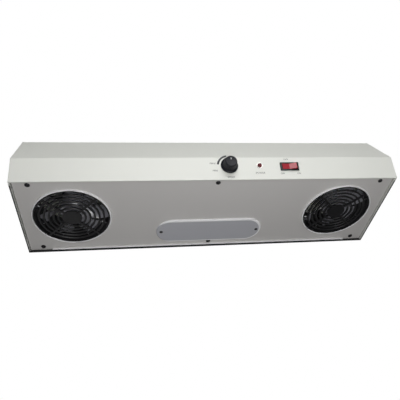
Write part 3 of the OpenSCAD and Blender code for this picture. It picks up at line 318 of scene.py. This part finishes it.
def surface(name, group_name, settings, bump=0.00003, strength=0.5, edge=0.0, **shader):
    """A material whose colour, roughness and relief come from a shader group."""
    material = bpy.data.materials.new(name)
    material.use_nodes = True
    tree = material.node_tree
    tree.nodes.clear()
    w = Wiring(tree)
    out = tree.nodes.new("ShaderNodeOutputMaterial")
    body = tree.nodes.new("ShaderNodeBsdfPrincipled")
    w.join(body.outputs[0], out.inputs["Surface"])
    for label, value in shader.items():
        body.inputs[label.replace("_", " ")].default_value = value
    effect = tree.nodes.new("ShaderNodeGroup")
    effect.node_tree = shader_group(group_name)
    for label, value in settings.items():
        effect.inputs[label].default_value = value
    w.join(effect.outputs["Color"], body.inputs["Base Color"])
    w.join(effect.outputs["Roughness"], body.inputs["Roughness"])
    rounded = w.soft_edge(edge) if edge else None
    w.join(w.bump(effect.outputs["Height"], bump, strength, rounded), body.inputs["Normal"])
    return material


def dress(material, *names):
    """Puts a material on CAD nodes, in every slot they have."""
    for name in names:
        node = NODES[name]
        if not node.material_slots:
            node.data.materials.append(material)
        for place in node.material_slots:
            place.material = material


def coat_material(name, color, dust=0.3, mottle=0.03, edge=0.0005):
    finish = bpy.context.scene.blower_finish
    settings = {"Color": rgba(color), "Dust": dust, "Gloss": finish.coat_roughness, "Mottle": mottle}
    return surface(name, "coat", settings, bump=finish.peel_depth, strength=0.6, edge=edge, IOR=1.5)


def plastic_material(name, color, gloss, scuff=0.15, grain=1900.0, edge=0.0003, bump=0.00002, **shader):
    settings = {"Color": rgba(color), "Gloss": gloss, "Scuff": scuff, "Grain": grain}
    return surface(name, "moulded", settings, bump=bump, strength=0.5, edge=edge, **shader)


def metal_material(name, color, tarnish, gloss, lines=0.5, metallic=1.0):
    settings = {"Color": rgba(color), "Tarnish": rgba(tarnish), "Gloss": gloss, "Lines": lines}
    return surface(name, "metal", settings, bump=0.00001, strength=0.4, edge=0.0002, Metallic=metallic)


def place_parts(w):
    """X, Y and Z of the point on the piece, in metres."""
    split = w.tree.nodes.new("ShaderNodeSeparateXYZ")
    w.join(w.place_by_object(), split.inputs[0])
    return split.outputs["X"], split.outputs["Y"], split.outputs["Z"]


def height_mask(material, start, full):
    """0 at one height and 1 at another."""
    w = Wiring(material.node_tree)
    return w.fit(place_parts(w)[2], start, full)


def rounded_end_mask(material, name, width, fade=0.0006):
    """1 on the outer band, this wide, of a cover with round ends that lies along X."""
    w = Wiring(material.node_tree)
    low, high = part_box(name)
    radius, middle = (high.y - low.y) / 2, (high.y + low.y) / 2
    x, y, _ = place_parts(w)
    along = w.maths("MAXIMUM", w.maths("SUBTRACT", w.maths("ABSOLUTE", x), high.x - radius), 0.0)
    across = w.maths("SUBTRACT", y, middle)
    squares = w.maths("ADD", w.maths("POWER", along, 2.0), w.maths("MULTIPLY", across, across))
    return w.fit(w.maths("SQRT", squares), radius - width - fade, radius - width)


def paint_edge_light_shade(material, mask, color):
    """Blends a coat to another colour by a mask: a painted highlight along pressed edges, a painted shade
    along cut edges.
    """
    w = Wiring(material.node_tree)
    body = material.node_tree.nodes["Principled BSDF"]
    coat = body.inputs["Base Color"].links[0].from_socket
    w.join(w.blend(mask, coat, rgba(color)), body.inputs["Base Color"])
    return material


def paint_edge_shade(material, behind, wall=None):
    """Paints shade dark on the sheet's cut lower edge behind the front lip, and on the foot of the rear
    wall's inner side.

    The rear wall is left alone where its outer face isn't given.
    """
    w = Wiring(material.node_tree)
    _, y, z = place_parts(w)
    mask = w.maths("MULTIPLY", w.fit(z, 0.0009, 0.0005), w.fit(y, behind, behind + 0.001))
    if wall is not None:
        in_front = w.fit(y, wall - 0.0030, wall - 0.0025)
        inside = w.maths("MULTIPLY", in_front, w.fit(y, wall - 0.0003, wall - 0.0006))
        mask = w.maths("MAXIMUM", mask, w.maths("MULTIPLY", inside, w.fit(z, 0.016, 0.012)))
    return paint_edge_light_shade(material, mask, bpy.context.scene.blower_finish.edge_shade_paint)


def flatten(material, share):
    """Leans the shading of steep faces towards the horizontal, as a shallow camber does."""
    tree = material.node_tree
    w = Wiring(tree)
    relief = tree.nodes["Principled BSDF"].inputs["Normal"].links[0].from_node
    rounded = relief.inputs["Normal"].links[0].from_socket
    squeeze = tree.nodes.new("ShaderNodeVectorMath")
    squeeze.operation = "MULTIPLY"
    w.join(rounded, squeeze.inputs[0])
    squeeze.inputs[1].default_value = (share, share, 1.0)
    length = tree.nodes.new("ShaderNodeVectorMath")
    length.operation = "NORMALIZE"
    w.join(squeeze.outputs[0], length.inputs[0])
    w.join(length.outputs[0], relief.inputs["Normal"])


# ---- Placing and mesh helpers ----


def joint_place(name):
    """Matrix at a joint: its origin, X along the blower, Z along the joint's axis."""
    joint = JOINTS[name]
    z = Vector(joint["axis"]).normalized()
    x = Vector((1.0, 0.0, 0.0))
    y = z.cross(x)
    turn = Matrix((x, y, z)).transposed().to_4x4()
    return Matrix.Translation(Vector(joint["pos_m"])) @ turn


def face_place(x):
    """Matrix on the control face, level with the knob's axis: X along it, Y up it, Z out of it."""
    base = joint_place("speed_knob_turn")
    return Matrix.Translation(Vector((x - base.translation.x, 0.0, 0.0))) @ base


def rim_front():
    """Where the control face meets the plane of the rim."""
    axis = Vector(JOINTS["speed_knob_turn"]["axis"])
    spot = Vector(JOINTS["speed_knob_turn"]["pos_m"])
    return spot.y + spot.z * axis.z / axis.y


def mix(a, b, share):
    return a + (b - a) * share


def centre(name):
    low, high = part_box(name)
    return (low + high) / 2


def finish_piece(name, build, place, material, body, angle=35.0):
    """Turns a bmesh into a piece in its place, smooth shaded, riding on a body."""
    bmesh.ops.remove_doubles(build, verts=build.verts, dist=1e-7)
    bmesh.ops.recalc_face_normals(build, faces=build.faces)
    build.transform(place)
    for face in build.faces:
        face.smooth = True
    for edge in build.edges:
        if len(edge.link_faces) == 2 and edge.calc_face_angle(0.0) > math.radians(angle):
            edge.smooth = False
    mesh = bpy.data.meshes.new(name)
    build.to_mesh(mesh)
    build.free()
    piece = bpy.data.objects.new(name, mesh)
    bpy.context.scene.collection.objects.link(piece)
    mesh.materials.append(material)
    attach(piece, body)
    return piece


def line_of(build, points):
    """An open line of edges through the points, to be spun or extruded."""
    verts = [build.verts.new(p) for p in points]
    return verts + [build.edges.new(pair) for pair in zip(verts, verts[1:])]


# ---- Finishes of the CAD pieces ----

LIP_DEPTH = 0.006  # the front lip's turned foot, left out of the painted shade
COLLAR_HIGHLIGHT_FULL, COLLAR_HIGHLIGHT_END = 0.0014, 0.0032  # heights above the collar's tip: painted highlight in full below the first, gone by the second
HATCH_HIGHLIGHT_WIDTH = 0.0030  # width of the painted highlight round the access cover's edge


class BLOWER_OT_cover_finish(bpy.types.Operator):
    """Powder coat on the cover, end plates and intake grilles, with painted shade along the cut lower edges
    """

    bl_idname = "blower.cover_finish"
    bl_label = "Cover Finish"

    def execute(self, context):
        finish = context.scene.blower_finish
        rear_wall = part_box("housing_cover")[1].y
        for name, wall in (("housing_cover", rear_wall), ("left_end_plate", None), ("right_end_plate", None)):
            coat = coat_material(name + "_coat", finish.cover_paint, dust=0.14)
            # painted shade along the cut lower edges and the rear wall's foot
            dress(paint_edge_shade(coat, rim_front() + LIP_DEPTH, wall), name)
        grille = coat_material("grille_coat", finish.cover_paint, dust=0.2, edge=0.0003)
        dress(grille, "left_intake_grille", "right_intake_grille")
        return {"FINISHED"}


class BLOWER_OT_panel_finish(bpy.types.Operator):
    """Powder coat on the base panel and the rounded access cover, with painted highlights on the collars'
    tips and round the cover's edge
    """

    bl_idname = "blower.panel_finish"
    bl_label = "Panel Finish"

    def execute(self, context):
        finish = context.scene.blower_finish
        collar_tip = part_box("bottom_panel")[0].z
        panel = coat_material("panel_coat", finish.panel_paint, mottle=0.05)
        # painted highlight on the collars' rounded tips
        collar_highlight = height_mask(panel, collar_tip + COLLAR_HIGHLIGHT_END, collar_tip + COLLAR_HIGHLIGHT_FULL)
        dress(paint_edge_light_shade(panel, collar_highlight, finish.edge_highlight_paint), "bottom_panel")
        hatch = coat_material("hatch_coat", finish.hatch_paint, mottle=0.05)
        # painted highlight round the access cover's rounded edge
        rim = rounded_end_mask(hatch, "access_cover", HATCH_HIGHLIGHT_WIDTH)
        dress(paint_edge_light_shade(hatch, rim, finish.edge_highlight_paint), "access_cover")
        return {"FINISHED"}


class BLOWER_OT_hardware_finish(bpy.types.Operator):
    """Plating, oxide and bare metal on the fasteners, rails and inner metalwork"""

    bl_idname = "blower.hardware_finish"
    bl_label = "Hardware Finish"

    def execute(self, context):
        zinc = metal_material("zinc_plate", (0.62, 0.64, 0.66), (0.46, 0.48, 0.50), 0.30)
        dress(zinc, "access_cover_nuts", "left_emitter_needles", "right_emitter_needles",
              "left_fan_bearings", "right_fan_bearings", "left_rotor_shaft", "right_rotor_shaft",
              "fan_studs", "fan_nuts", "intake_grille_screws", "intake_grille_nuts", "supply_screws",
              "board_standoffs", "board_screws", "potentiometer_nut", "potentiometer_shaft",
              "inlet_screws", "hanging_nuts")
        rivet = metal_material("rivet_metal", (0.66, 0.66, 0.66), (0.52, 0.52, 0.52), 0.38)
        dress(rivet, "end_plate_rivets")
        oxide = metal_material("black_oxide", (0.035, 0.035, 0.038), (0.055, 0.052, 0.050), 0.34,
                               metallic=0.7)
        dress(oxide, "panel_screws", "access_cover_screws")
        nickel = metal_material("bright_nickel", (0.82, 0.80, 0.78), (0.70, 0.68, 0.66), 0.24)
        dress(nickel, "indicator_bezel")
        phosphate = metal_material("phosphate", (0.12, 0.12, 0.125), (0.08, 0.08, 0.085), 0.55,
                                   metallic=0.8)
        dress(phosphate, "front_panel_rail", "rear_panel_rail", "speed_potentiometer")
        brass = metal_material("plain_brass", (0.76, 0.58, 0.26), (0.50, 0.36, 0.16), 0.28)
        dress(brass, "switch_terminals", "inlet_pins", "earth_stud")
        copper = metal_material("winding_copper", (0.62, 0.26, 0.12), (0.40, 0.16, 0.08), 0.35, lines=1.0)
        dress(copper, "left_fan_stator", "right_fan_stator")
        return {"FINISHED"}


class BLOWER_OT_moulding_finish(bpy.types.Operator):
    """Moulded plastic on the guards, rings, fan frames, electronics and leads"""

    bl_idname = "blower.moulding_finish"
    bl_label = "Moulding Finish"

    def execute(self, context):
        finish = context.scene.blower_finish
        guard = plastic_material("guard_plastic", finish.guard_moulding, 0.44, scuff=0.06)
        dress(guard, "left_finger_guard", "right_finger_guard")
        # the rotors' grey stands in for reflections on black glossy blades
        rotor = plastic_material("rotor_plastic", finish.rotor_sheen_grey, 0.20, scuff=0.04, grain=900.0,
                                 edge=0.0014, bump=0.000005, Coat_Weight=1.0, Coat_Roughness=0.12,
                                 Coat_IOR=1.7)
        flatten(rotor, 0.42)
        dress(rotor, "left_fan_rotor", "right_fan_rotor")
        ring = plastic_material("ring_plastic", finish.ring_moulding, 0.48, scuff=0.05)
        dress(ring, "left_emitter_ring", "right_emitter_ring", "left_fan_frame", "right_fan_frame")
        gloss = plastic_material("glossy_plastic", (0.004, 0.004, 0.005), 0.16, scuff=0.04, grain=900.0,
                                 bump=0.000006, Specular_IOR_Level=0.3)
        dress(gloss, "switch_body", "power_inlet")
        resin = plastic_material("potting_resin", (0.030, 0.034, 0.045), 0.30, scuff=0.2, grain=500.0)
        dress(resin, "high_voltage_supply")
        board = plastic_material("solder_mask", (0.02, 0.16, 0.06), 0.28, grain=700.0)
        dress(board, "control_board")
        components = plastic_material("board_parts", (0.10, 0.11, 0.15), 0.40)
        dress(components, "board_components")
        grey = plastic_material("grey_insulation", (0.20, 0.20, 0.21), 0.45, grain=1200.0)
        dress(grey, "left_fan_lead", "right_fan_lead", "control_leads", "mains_lead")
        red = plastic_material("red_insulation", (0.40, 0.030, 0.025), 0.40, grain=1200.0)
        dress(red, "left_high_voltage_lead", "right_high_voltage_lead")
        return {"FINISHED"}


class BLOWER_OT_control_finish(bpy.types.Operator):
    """Clear red plastic on the rocker and the indicator's lens"""

    bl_idname = "blower.control_finish"
    bl_label = "Control Finish"

    def execute(self, context):
        finish = context.scene.blower_finish
        rocker = plastic_material("rocker_red", finish.rocker_plastic, 0.24, scuff=0.04, grain=800.0,
                                  bump=0.000004, Transmission_Weight=0.15, IOR=1.49, Coat_Weight=0.4)
        dress(rocker, "rocker_button")
        lens = plastic_material("lens_red", finish.lens_plastic, 0.12, scuff=0.0, grain=400.0,
                                bump=0.000002, Transmission_Weight=0.35, IOR=1.49, Coat_Weight=0.6)
        dress(lens, "indicator_lens")
        return {"FINISHED"}


# ---- Seen-only pieces ----

KNOB_INSET = 0.00002  # keeps the fluted knob inside the plain one
FLUTE_STEPS = 8  # steps of the spin to each flute
POINTER_SUNK = 0.00036  # the pointer line's place below the knob's top
POINTER_THICK = 0.0001


class BLOWER_OT_speed_knob(bpy.types.Operator):
    """Fluted speed knob with a filled pointer line"""

    bl_idname = "blower.speed_knob"
    bl_label = "Speed Knob"

    def execute(self, context):
        finish, sizes = context.scene.blower_finish, context.scene.blower_pieces
        place = joint_place("speed_knob_turn")
        own = place.inverted()
        corners = [own @ v.co for v in NODES["speed_knob"].data.vertices]
        foot = min(c.z for c in corners)
        top = max(c.z for c in corners)
        skirt = max(math.hypot(c.x, c.y) for c in corners) - KNOB_INSET
        cap = max(math.hypot(c.x, c.y) for c in corners if c.z > top - 0.0013)
        grip_foot = foot + (top - foot) * 0.22
        grip = cap + 0.0009
        profile = [
            (skirt * 0.72, foot), (skirt - 0.0004, foot), (skirt, foot + 0.0004), (skirt, foot + 0.0014),
            (skirt - 0.0003, foot + 0.0018), (grip + 0.0010, foot + 0.0026), (grip + 0.0002, grip_foot),
            (grip, grip_foot + 0.0008), (mix(grip, cap, 0.3), mix(grip_foot, top, 0.35)),
            (mix(grip, cap, 0.6), mix(grip_foot, top, 0.6)), (mix(grip, cap, 0.85), top - 0.0022),
            (cap - 0.0001, top - 0.0012), (cap - 0.0005, top - 0.0005), (cap - 0.0012, top - 0.0001),
            (cap - 0.0020, top), (cap - 0.0026, top - 0.00025), (cap * 0.55, top - 0.0004),
            (0.0, top - 0.00045),
        ]
        build = bmesh.new()
        outline = line_of(build, [(r, 0.0, z) for r, z in profile])
        bmesh.ops.spin(build, geom=outline, cent=(0, 0, 0), axis=(0, 0, 1), angle=math.tau,
                       steps=sizes.flutes * FLUTE_STEPS, use_merge=True)
        bmesh.ops.remove_doubles(build, verts=build.verts, dist=1e-6)
        for vert in build.verts:
            reach = math.hypot(vert.co.x, vert.co.y)
            if grip_foot + 0.0003 < vert.co.z < top - 0.0007 and reach > cap - 0.0008:
                turn = math.atan2(vert.co.y, vert.co.x) * sizes.flutes
                fade = min(1.0, (vert.co.z - grip_foot) / 0.0016) * min(1.0, (top - vert.co.z) / 0.0022)
                cut = sizes.flute_depth * fade * (0.5 - 0.5 * math.cos(turn)) ** 2
                vert.co.xy = vert.co.xy * (1.0 - cut / reach)
        knob = plastic_material("knob_plastic", finish.knob_moulding, 0.42, scuff=0.03, grain=1500.0,
                                edge=0.0, bump=0.000006, Specular_IOR_Level=0.3)
        piece = finish_piece("fluted_speed_knob", build, place, knob, "speed_control",
                             angle=50.0)
        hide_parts("speed_knob")
        line = bmesh.new()
        bmesh.ops.create_grid(line, x_segments=1, y_segments=6, size=0.5)
        for vert in line.verts:
            along = vert.co.y + 0.5
            outward = mix(cap * 0.30, cap - 0.0028, along)
            vert.co = Vector((vert.co.x * sizes.pointer_width, outward, top - POINTER_SUNK))
        bmesh.ops.solidify(line, geom=line.faces, thickness=POINTER_THICK)
        ink = plastic_material("pointer_ink", (0.55, 0.56, 0.56), 0.5, scuff=0.0, edge=0.0)
        finish_piece("knob_pointer", line, place, ink, "speed_control")
        return {"FINISHED"}


def bent_band(build, radius, steps, wide, narrow, start, end, lift):
    """A printed band bent round a circle, tapering from one end to the other."""
    bmesh.ops.create_grid(build, x_segments=steps, y_segments=1, size=0.5)
    for vert in build.verts:
        share = vert.co.x + 0.5
        turn = mix(start, end, share)
        reach = radius + (mix(wide, narrow, share) if vert.co.y > 0 else 0.0)
        vert.co = Vector((reach * math.cos(turn), reach * math.sin(turn), lift))


def caption(words, height, point):
    """Plain printed lettering as a flat bmesh, centred on a point."""
    curve = bpy.data.curves.new("caption", "FONT")
    curve.body = words
    curve.size = height * 1.38
    curve.align_x = "CENTER"
    curve.align_y = "CENTER"
    curve.resolution_u = 4
    holder = bpy.data.objects.new("caption", curve)
    bpy.context.scene.collection.objects.link(holder)
    bpy.context.view_layer.update()
    shape = bpy.data.meshes.new_from_object(holder.evaluated_get(bpy.context.evaluated_depsgraph_get()))
    bpy.data.objects.remove(holder)
    bpy.data.curves.remove(curve)
    build = bmesh.new()
    build.from_mesh(shape)
    bpy.data.meshes.remove(shape)
    build.transform(Matrix.Translation(Vector(point)))
    return build


def joined(builds):
    """Several bmeshes in one."""
    whole = bmesh.new()
    for build in builds:
        loose = bpy.data.meshes.new("loose")
        build.to_mesh(loose)
        build.free()
        whole.from_mesh(loose)
        bpy.data.meshes.remove(loose)
    return whole


SCALE_START, SCALE_END = 172, 100  # degrees round the knob
KNOB_WORDS = (("MAX", 171, 0.0262), ("MIN", 200, 0.0245))  # degrees, and reach from the knob's axis
KNOB_TITLE_PLACE = (0.001, -0.0198)  # from the knob's axis
SWITCH_WORDS_DROP = -0.0143  # below the switch's middle
SWITCH_TITLE_PLACE = (-0.004, 0.0112)  # from the switch's middle
LAMP_WORD_DROP = -0.0130
SMALL_WORDS = 0.85  # share of the captions' height


class BLOWER_OT_printed_marks(bpy.types.Operator):
    """Printed speed scale and the words at the knob, lamp and switch"""

    bl_idname = "blower.printed_marks"
    bl_label = "Printed Marks"

    def execute(self, context):
        finish, sizes = context.scene.blower_finish, context.scene.blower_pieces
        ink = plastic_material("print_ink", finish.print_ink, 0.5, scuff=0.0, edge=0.0)
        place = joint_place("speed_knob_turn")
        lift = sizes.print_lift
        height = sizes.caption_height
        scale = bmesh.new()
        bent_band(scale, sizes.scale_radius, 48, sizes.scale_wide, sizes.scale_narrow,
                  math.radians(SCALE_START), math.radians(SCALE_END), lift)
        marks = [scale]
        for word, angle, reach in KNOB_WORDS:
            turn = math.radians(angle)
            marks.append(caption(word, height, (reach * math.cos(turn), reach * math.sin(turn), lift)))
        marks.append(caption("SPEED", height, (*KNOB_TITLE_PLACE, lift)))
        finish_piece("speed_scale_print", joined(marks), place, ink, HOUSING)

        middle = centre("switch_body").x
        low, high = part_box("switch_body")
        words = []
        for word, x in (("OFF", low.x + 0.0025), ("ON", high.x - 0.0015)):
            words.append(caption(word, height * SMALL_WORDS, (x - middle, SWITCH_WORDS_DROP, lift)))
        words.append(caption("FAN", height * SMALL_WORDS, (*SWITCH_TITLE_PLACE, lift)))
        finish_piece("switch_captions", joined(words), face_place(middle), ink, HOUSING)

        lamp_word = caption("POWER", height, (0.0, LAMP_WORD_DROP, lift))
        lamp_place = face_place(centre("indicator_bezel").x)
        finish_piece("lamp_caption", lamp_word, lamp_place, ink, HOUSING)
        return {"FINISHED"}


# ---- Stage ----

VIEW_LENS = 36.66
VIEW_PLACE = (-0.1252, -0.4077, -0.4493)  # from the middle of the front edge
VIEW_TURN = (134.6585, 7.2687, -5.7520)  # degrees
AIM = (0.0, 0.0, 0.05)
SOFTBOXES = (  # name, its power, size and place
    ("key_softbox", "key_power", (0.45, 0.3), (0.0, -0.55, -0.55)),
    ("front_softbox", "front_power", (0.7, 0.5), (0.05, -0.77, 0.26)),
    ("top_softbox", "top_power", (1.6, 0.9), (0.1, 1.0, 1.35)),
    ("left_softbox", "side_power", (1.5, 1.4), (-1.7, 0.1, 0.25)),
    ("right_softbox", "side_power", (1.5, 1.4), (1.7, 0.1, 0.25)),
    ("back_softbox", "back_power", (1.4, 0.35), (-0.25, 0.92, -0.82)),
)
FLOOR_HALF_WIDTH = 12.0
FLOOR_TONES = ((0.86, 0.86, 0.86, 1.0), (0.90, 0.90, 0.90, 1.0))
FLOOR_BOUNCE = (0.12, 0.12, 0.12, 1.0)  # what the floor gives back to the blower
GLOW_NEAR, GLOW_FAR = (2.0, 0.55), (7.0, 1.1)  # distance from the middle, and the lift that the camera sees
BACKDROP_START, BACKDROP_FULL = 0.05, 0.45  # share of the way to straight behind


def softbox(name, power, size, place):
    """A rectangular white lamp that faces the blower."""
    lamp = bpy.data.lights.new(name, "AREA")
    lamp.shape = "RECTANGLE"
    lamp.size, lamp.size_y = size
    lamp.energy = power
    holder = bpy.data.objects.new(name, lamp)
    holder.location = place
    holder.rotation_euler = (Vector(AIM) - Vector(place)).to_track_quat("-Z", "Y").to_euler()
    bpy.context.scene.collection.objects.link(holder)


class BLOWER_OT_stage(bpy.types.Operator):
    """Camera below the front edge, softboxes, pale floor and white surroundings"""

    bl_idname = "blower.stage"
    bl_label = "Stage"

    def execute(self, context):
        scene, stage = context.scene, context.scene.blower_stage
        camera = bpy.data.cameras.new("view_camera")
        camera.sensor_width = 36.0
        camera.lens = VIEW_LENS
        holder = bpy.data.objects.new("view_camera", camera)
        holder.location = Vector(VIEW_PLACE) + Vector((0.0, rim_front(), 0.0))
        holder.rotation_euler = [math.radians(angle) for angle in VIEW_TURN]
        scene.collection.objects.link(holder)
        scene.camera = holder

        for name, power, size, place in SOFTBOXES:
            softbox(name, getattr(stage, power), size, place)

        build = bmesh.new()
        bmesh.ops.create_grid(build, x_segments=1, y_segments=1, size=FLOOR_HALF_WIDTH)
        bmesh.ops.translate(build, verts=build.verts, vec=(0.0, 0.0, -stage.floor_drop))
        mesh = bpy.data.meshes.new("floor")
        build.to_mesh(mesh)
        build.free()
        floor = bpy.data.objects.new("floor", mesh)
        scene.collection.objects.link(floor)
        mesh.materials.append(floor_material())

        scene.world = surroundings(stage.ambient, stage.front_mirrored)
        scene.view_settings.view_transform = "Standard"
        return {"FINISHED"}


def floor_material():
    """Pale matt floor, lifted where the camera looks at it so that the white behind it carries on."""
    material = bpy.data.materials.new("pale_floor")
    material.use_nodes = True
    body = material.node_tree.nodes["Principled BSDF"]
    body.inputs["Roughness"].default_value = 0.9
    w = Wiring(material.node_tree)
    shade = w.blend(w.noise(3.0, 3.0), *FLOOR_TONES)
    paths = material.node_tree.nodes.new("ShaderNodeLightPath")
    w.join(w.blend(paths.outputs["Is Camera Ray"], FLOOR_BOUNCE, shade), body.inputs["Base Color"])
    w.join(shade, body.inputs["Emission Color"])
    spot = material.node_tree.nodes.new("ShaderNodeVectorMath")
    spot.operation = "LENGTH"
    w.join(w.place_by_object(), spot.inputs[0])
    lift = w.fit(spot.outputs["Value"], GLOW_NEAR[0], GLOW_FAR[0], GLOW_NEAR[1], GLOW_FAR[1])
    w.join(w.maths("MULTIPLY", paths.outputs["Is Camera Ray"], lift), body.inputs["Emission Strength"])
    return material


def surroundings(strength, front_mirrored):
    """White where the camera looks and behind the blower in reflections, and faint even light elsewhere."""
    world = bpy.data.worlds.new("surroundings")
    world.use_nodes = True
    tree = world.node_tree
    tree.nodes.clear()
    w = Wiring(tree)
    out = tree.nodes.new("ShaderNodeOutputWorld")
    light = tree.nodes.new("ShaderNodeBackground")
    light.inputs["Color"].default_value = (1.0, 1.0, 1.0, 1.0)
    paths = tree.nodes.new("ShaderNodeLightPath")
    seen = w.maths("MAXIMUM", paths.outputs["Is Camera Ray"], paths.outputs["Is Transmission Ray"])
    way = tree.nodes.new("ShaderNodeSeparateXYZ")
    w.join(tree.nodes.new("ShaderNodeTexCoord").outputs["Generated"], way.inputs[0])
    backdrop = w.fit(way.outputs["Y"], BACKDROP_START, BACKDROP_FULL, front_mirrored, 1.0)
    level = w.blend(paths.outputs["Is Glossy Ray"], (strength, strength, strength, 1.0), backdrop)
    w.join(w.maths("MAXIMUM", seen, level), light.inputs["Strength"])
    w.join(light.outputs[0], out.inputs["Surface"])
    return world


# ---- Panel, registering and the run ----


PIECES = (BLOWER_OT_cover_finish, BLOWER_OT_panel_finish, BLOWER_OT_hardware_finish,
          BLOWER_OT_moulding_finish, BLOWER_OT_control_finish, BLOWER_OT_speed_knob,
          BLOWER_OT_printed_marks, BLOWER_OT_stage)
SETTINGS = (BlowerFinish, BlowerPieces, BlowerStage)


class BLOWER_PT_panel(bpy.types.Panel):
    """Blower finishes, pieces and stage"""

    bl_idname = "BLOWER_PT_panel"
    bl_label = "Overhead Blower"
    bl_space_type = "VIEW_3D"
    bl_region_type = "UI"
    bl_category = "Blower"

    def draw(self, context):
        scene = context.scene
        for settings in (scene.blower_finish, scene.blower_pieces, scene.blower_stage):
            box = self.layout.box()
            for label in settings.bl_rna.properties.keys():
                if label not in ("rna_type", "name"):
                    box.prop(settings, label)
        for piece in PIECES:
            self.layout.operator(piece.bl_idname)


def register():
    for item in SETTINGS + PIECES + (BLOWER_PT_panel,):
        bpy.utils.register_class(item)
    bpy.types.Scene.blower_finish = PointerProperty(type=BlowerFinish)
    bpy.types.Scene.blower_pieces = PointerProperty(type=BlowerPieces)
    bpy.types.Scene.blower_stage = PointerProperty(type=BlowerStage)


def unregister():
    del bpy.types.Scene.blower_finish
    del bpy.types.Scene.blower_pieces
    del bpy.types.Scene.blower_stage
    for item in reversed(SETTINGS + PIECES + (BLOWER_PT_panel,)):
        bpy.utils.unregister_class(item)


def main():
    register()
    for piece in PIECES:
        group, name = piece.bl_idname.split(".")
        getattr(getattr(bpy.ops, group), name)()


if __name__ == "__main__":
    main()
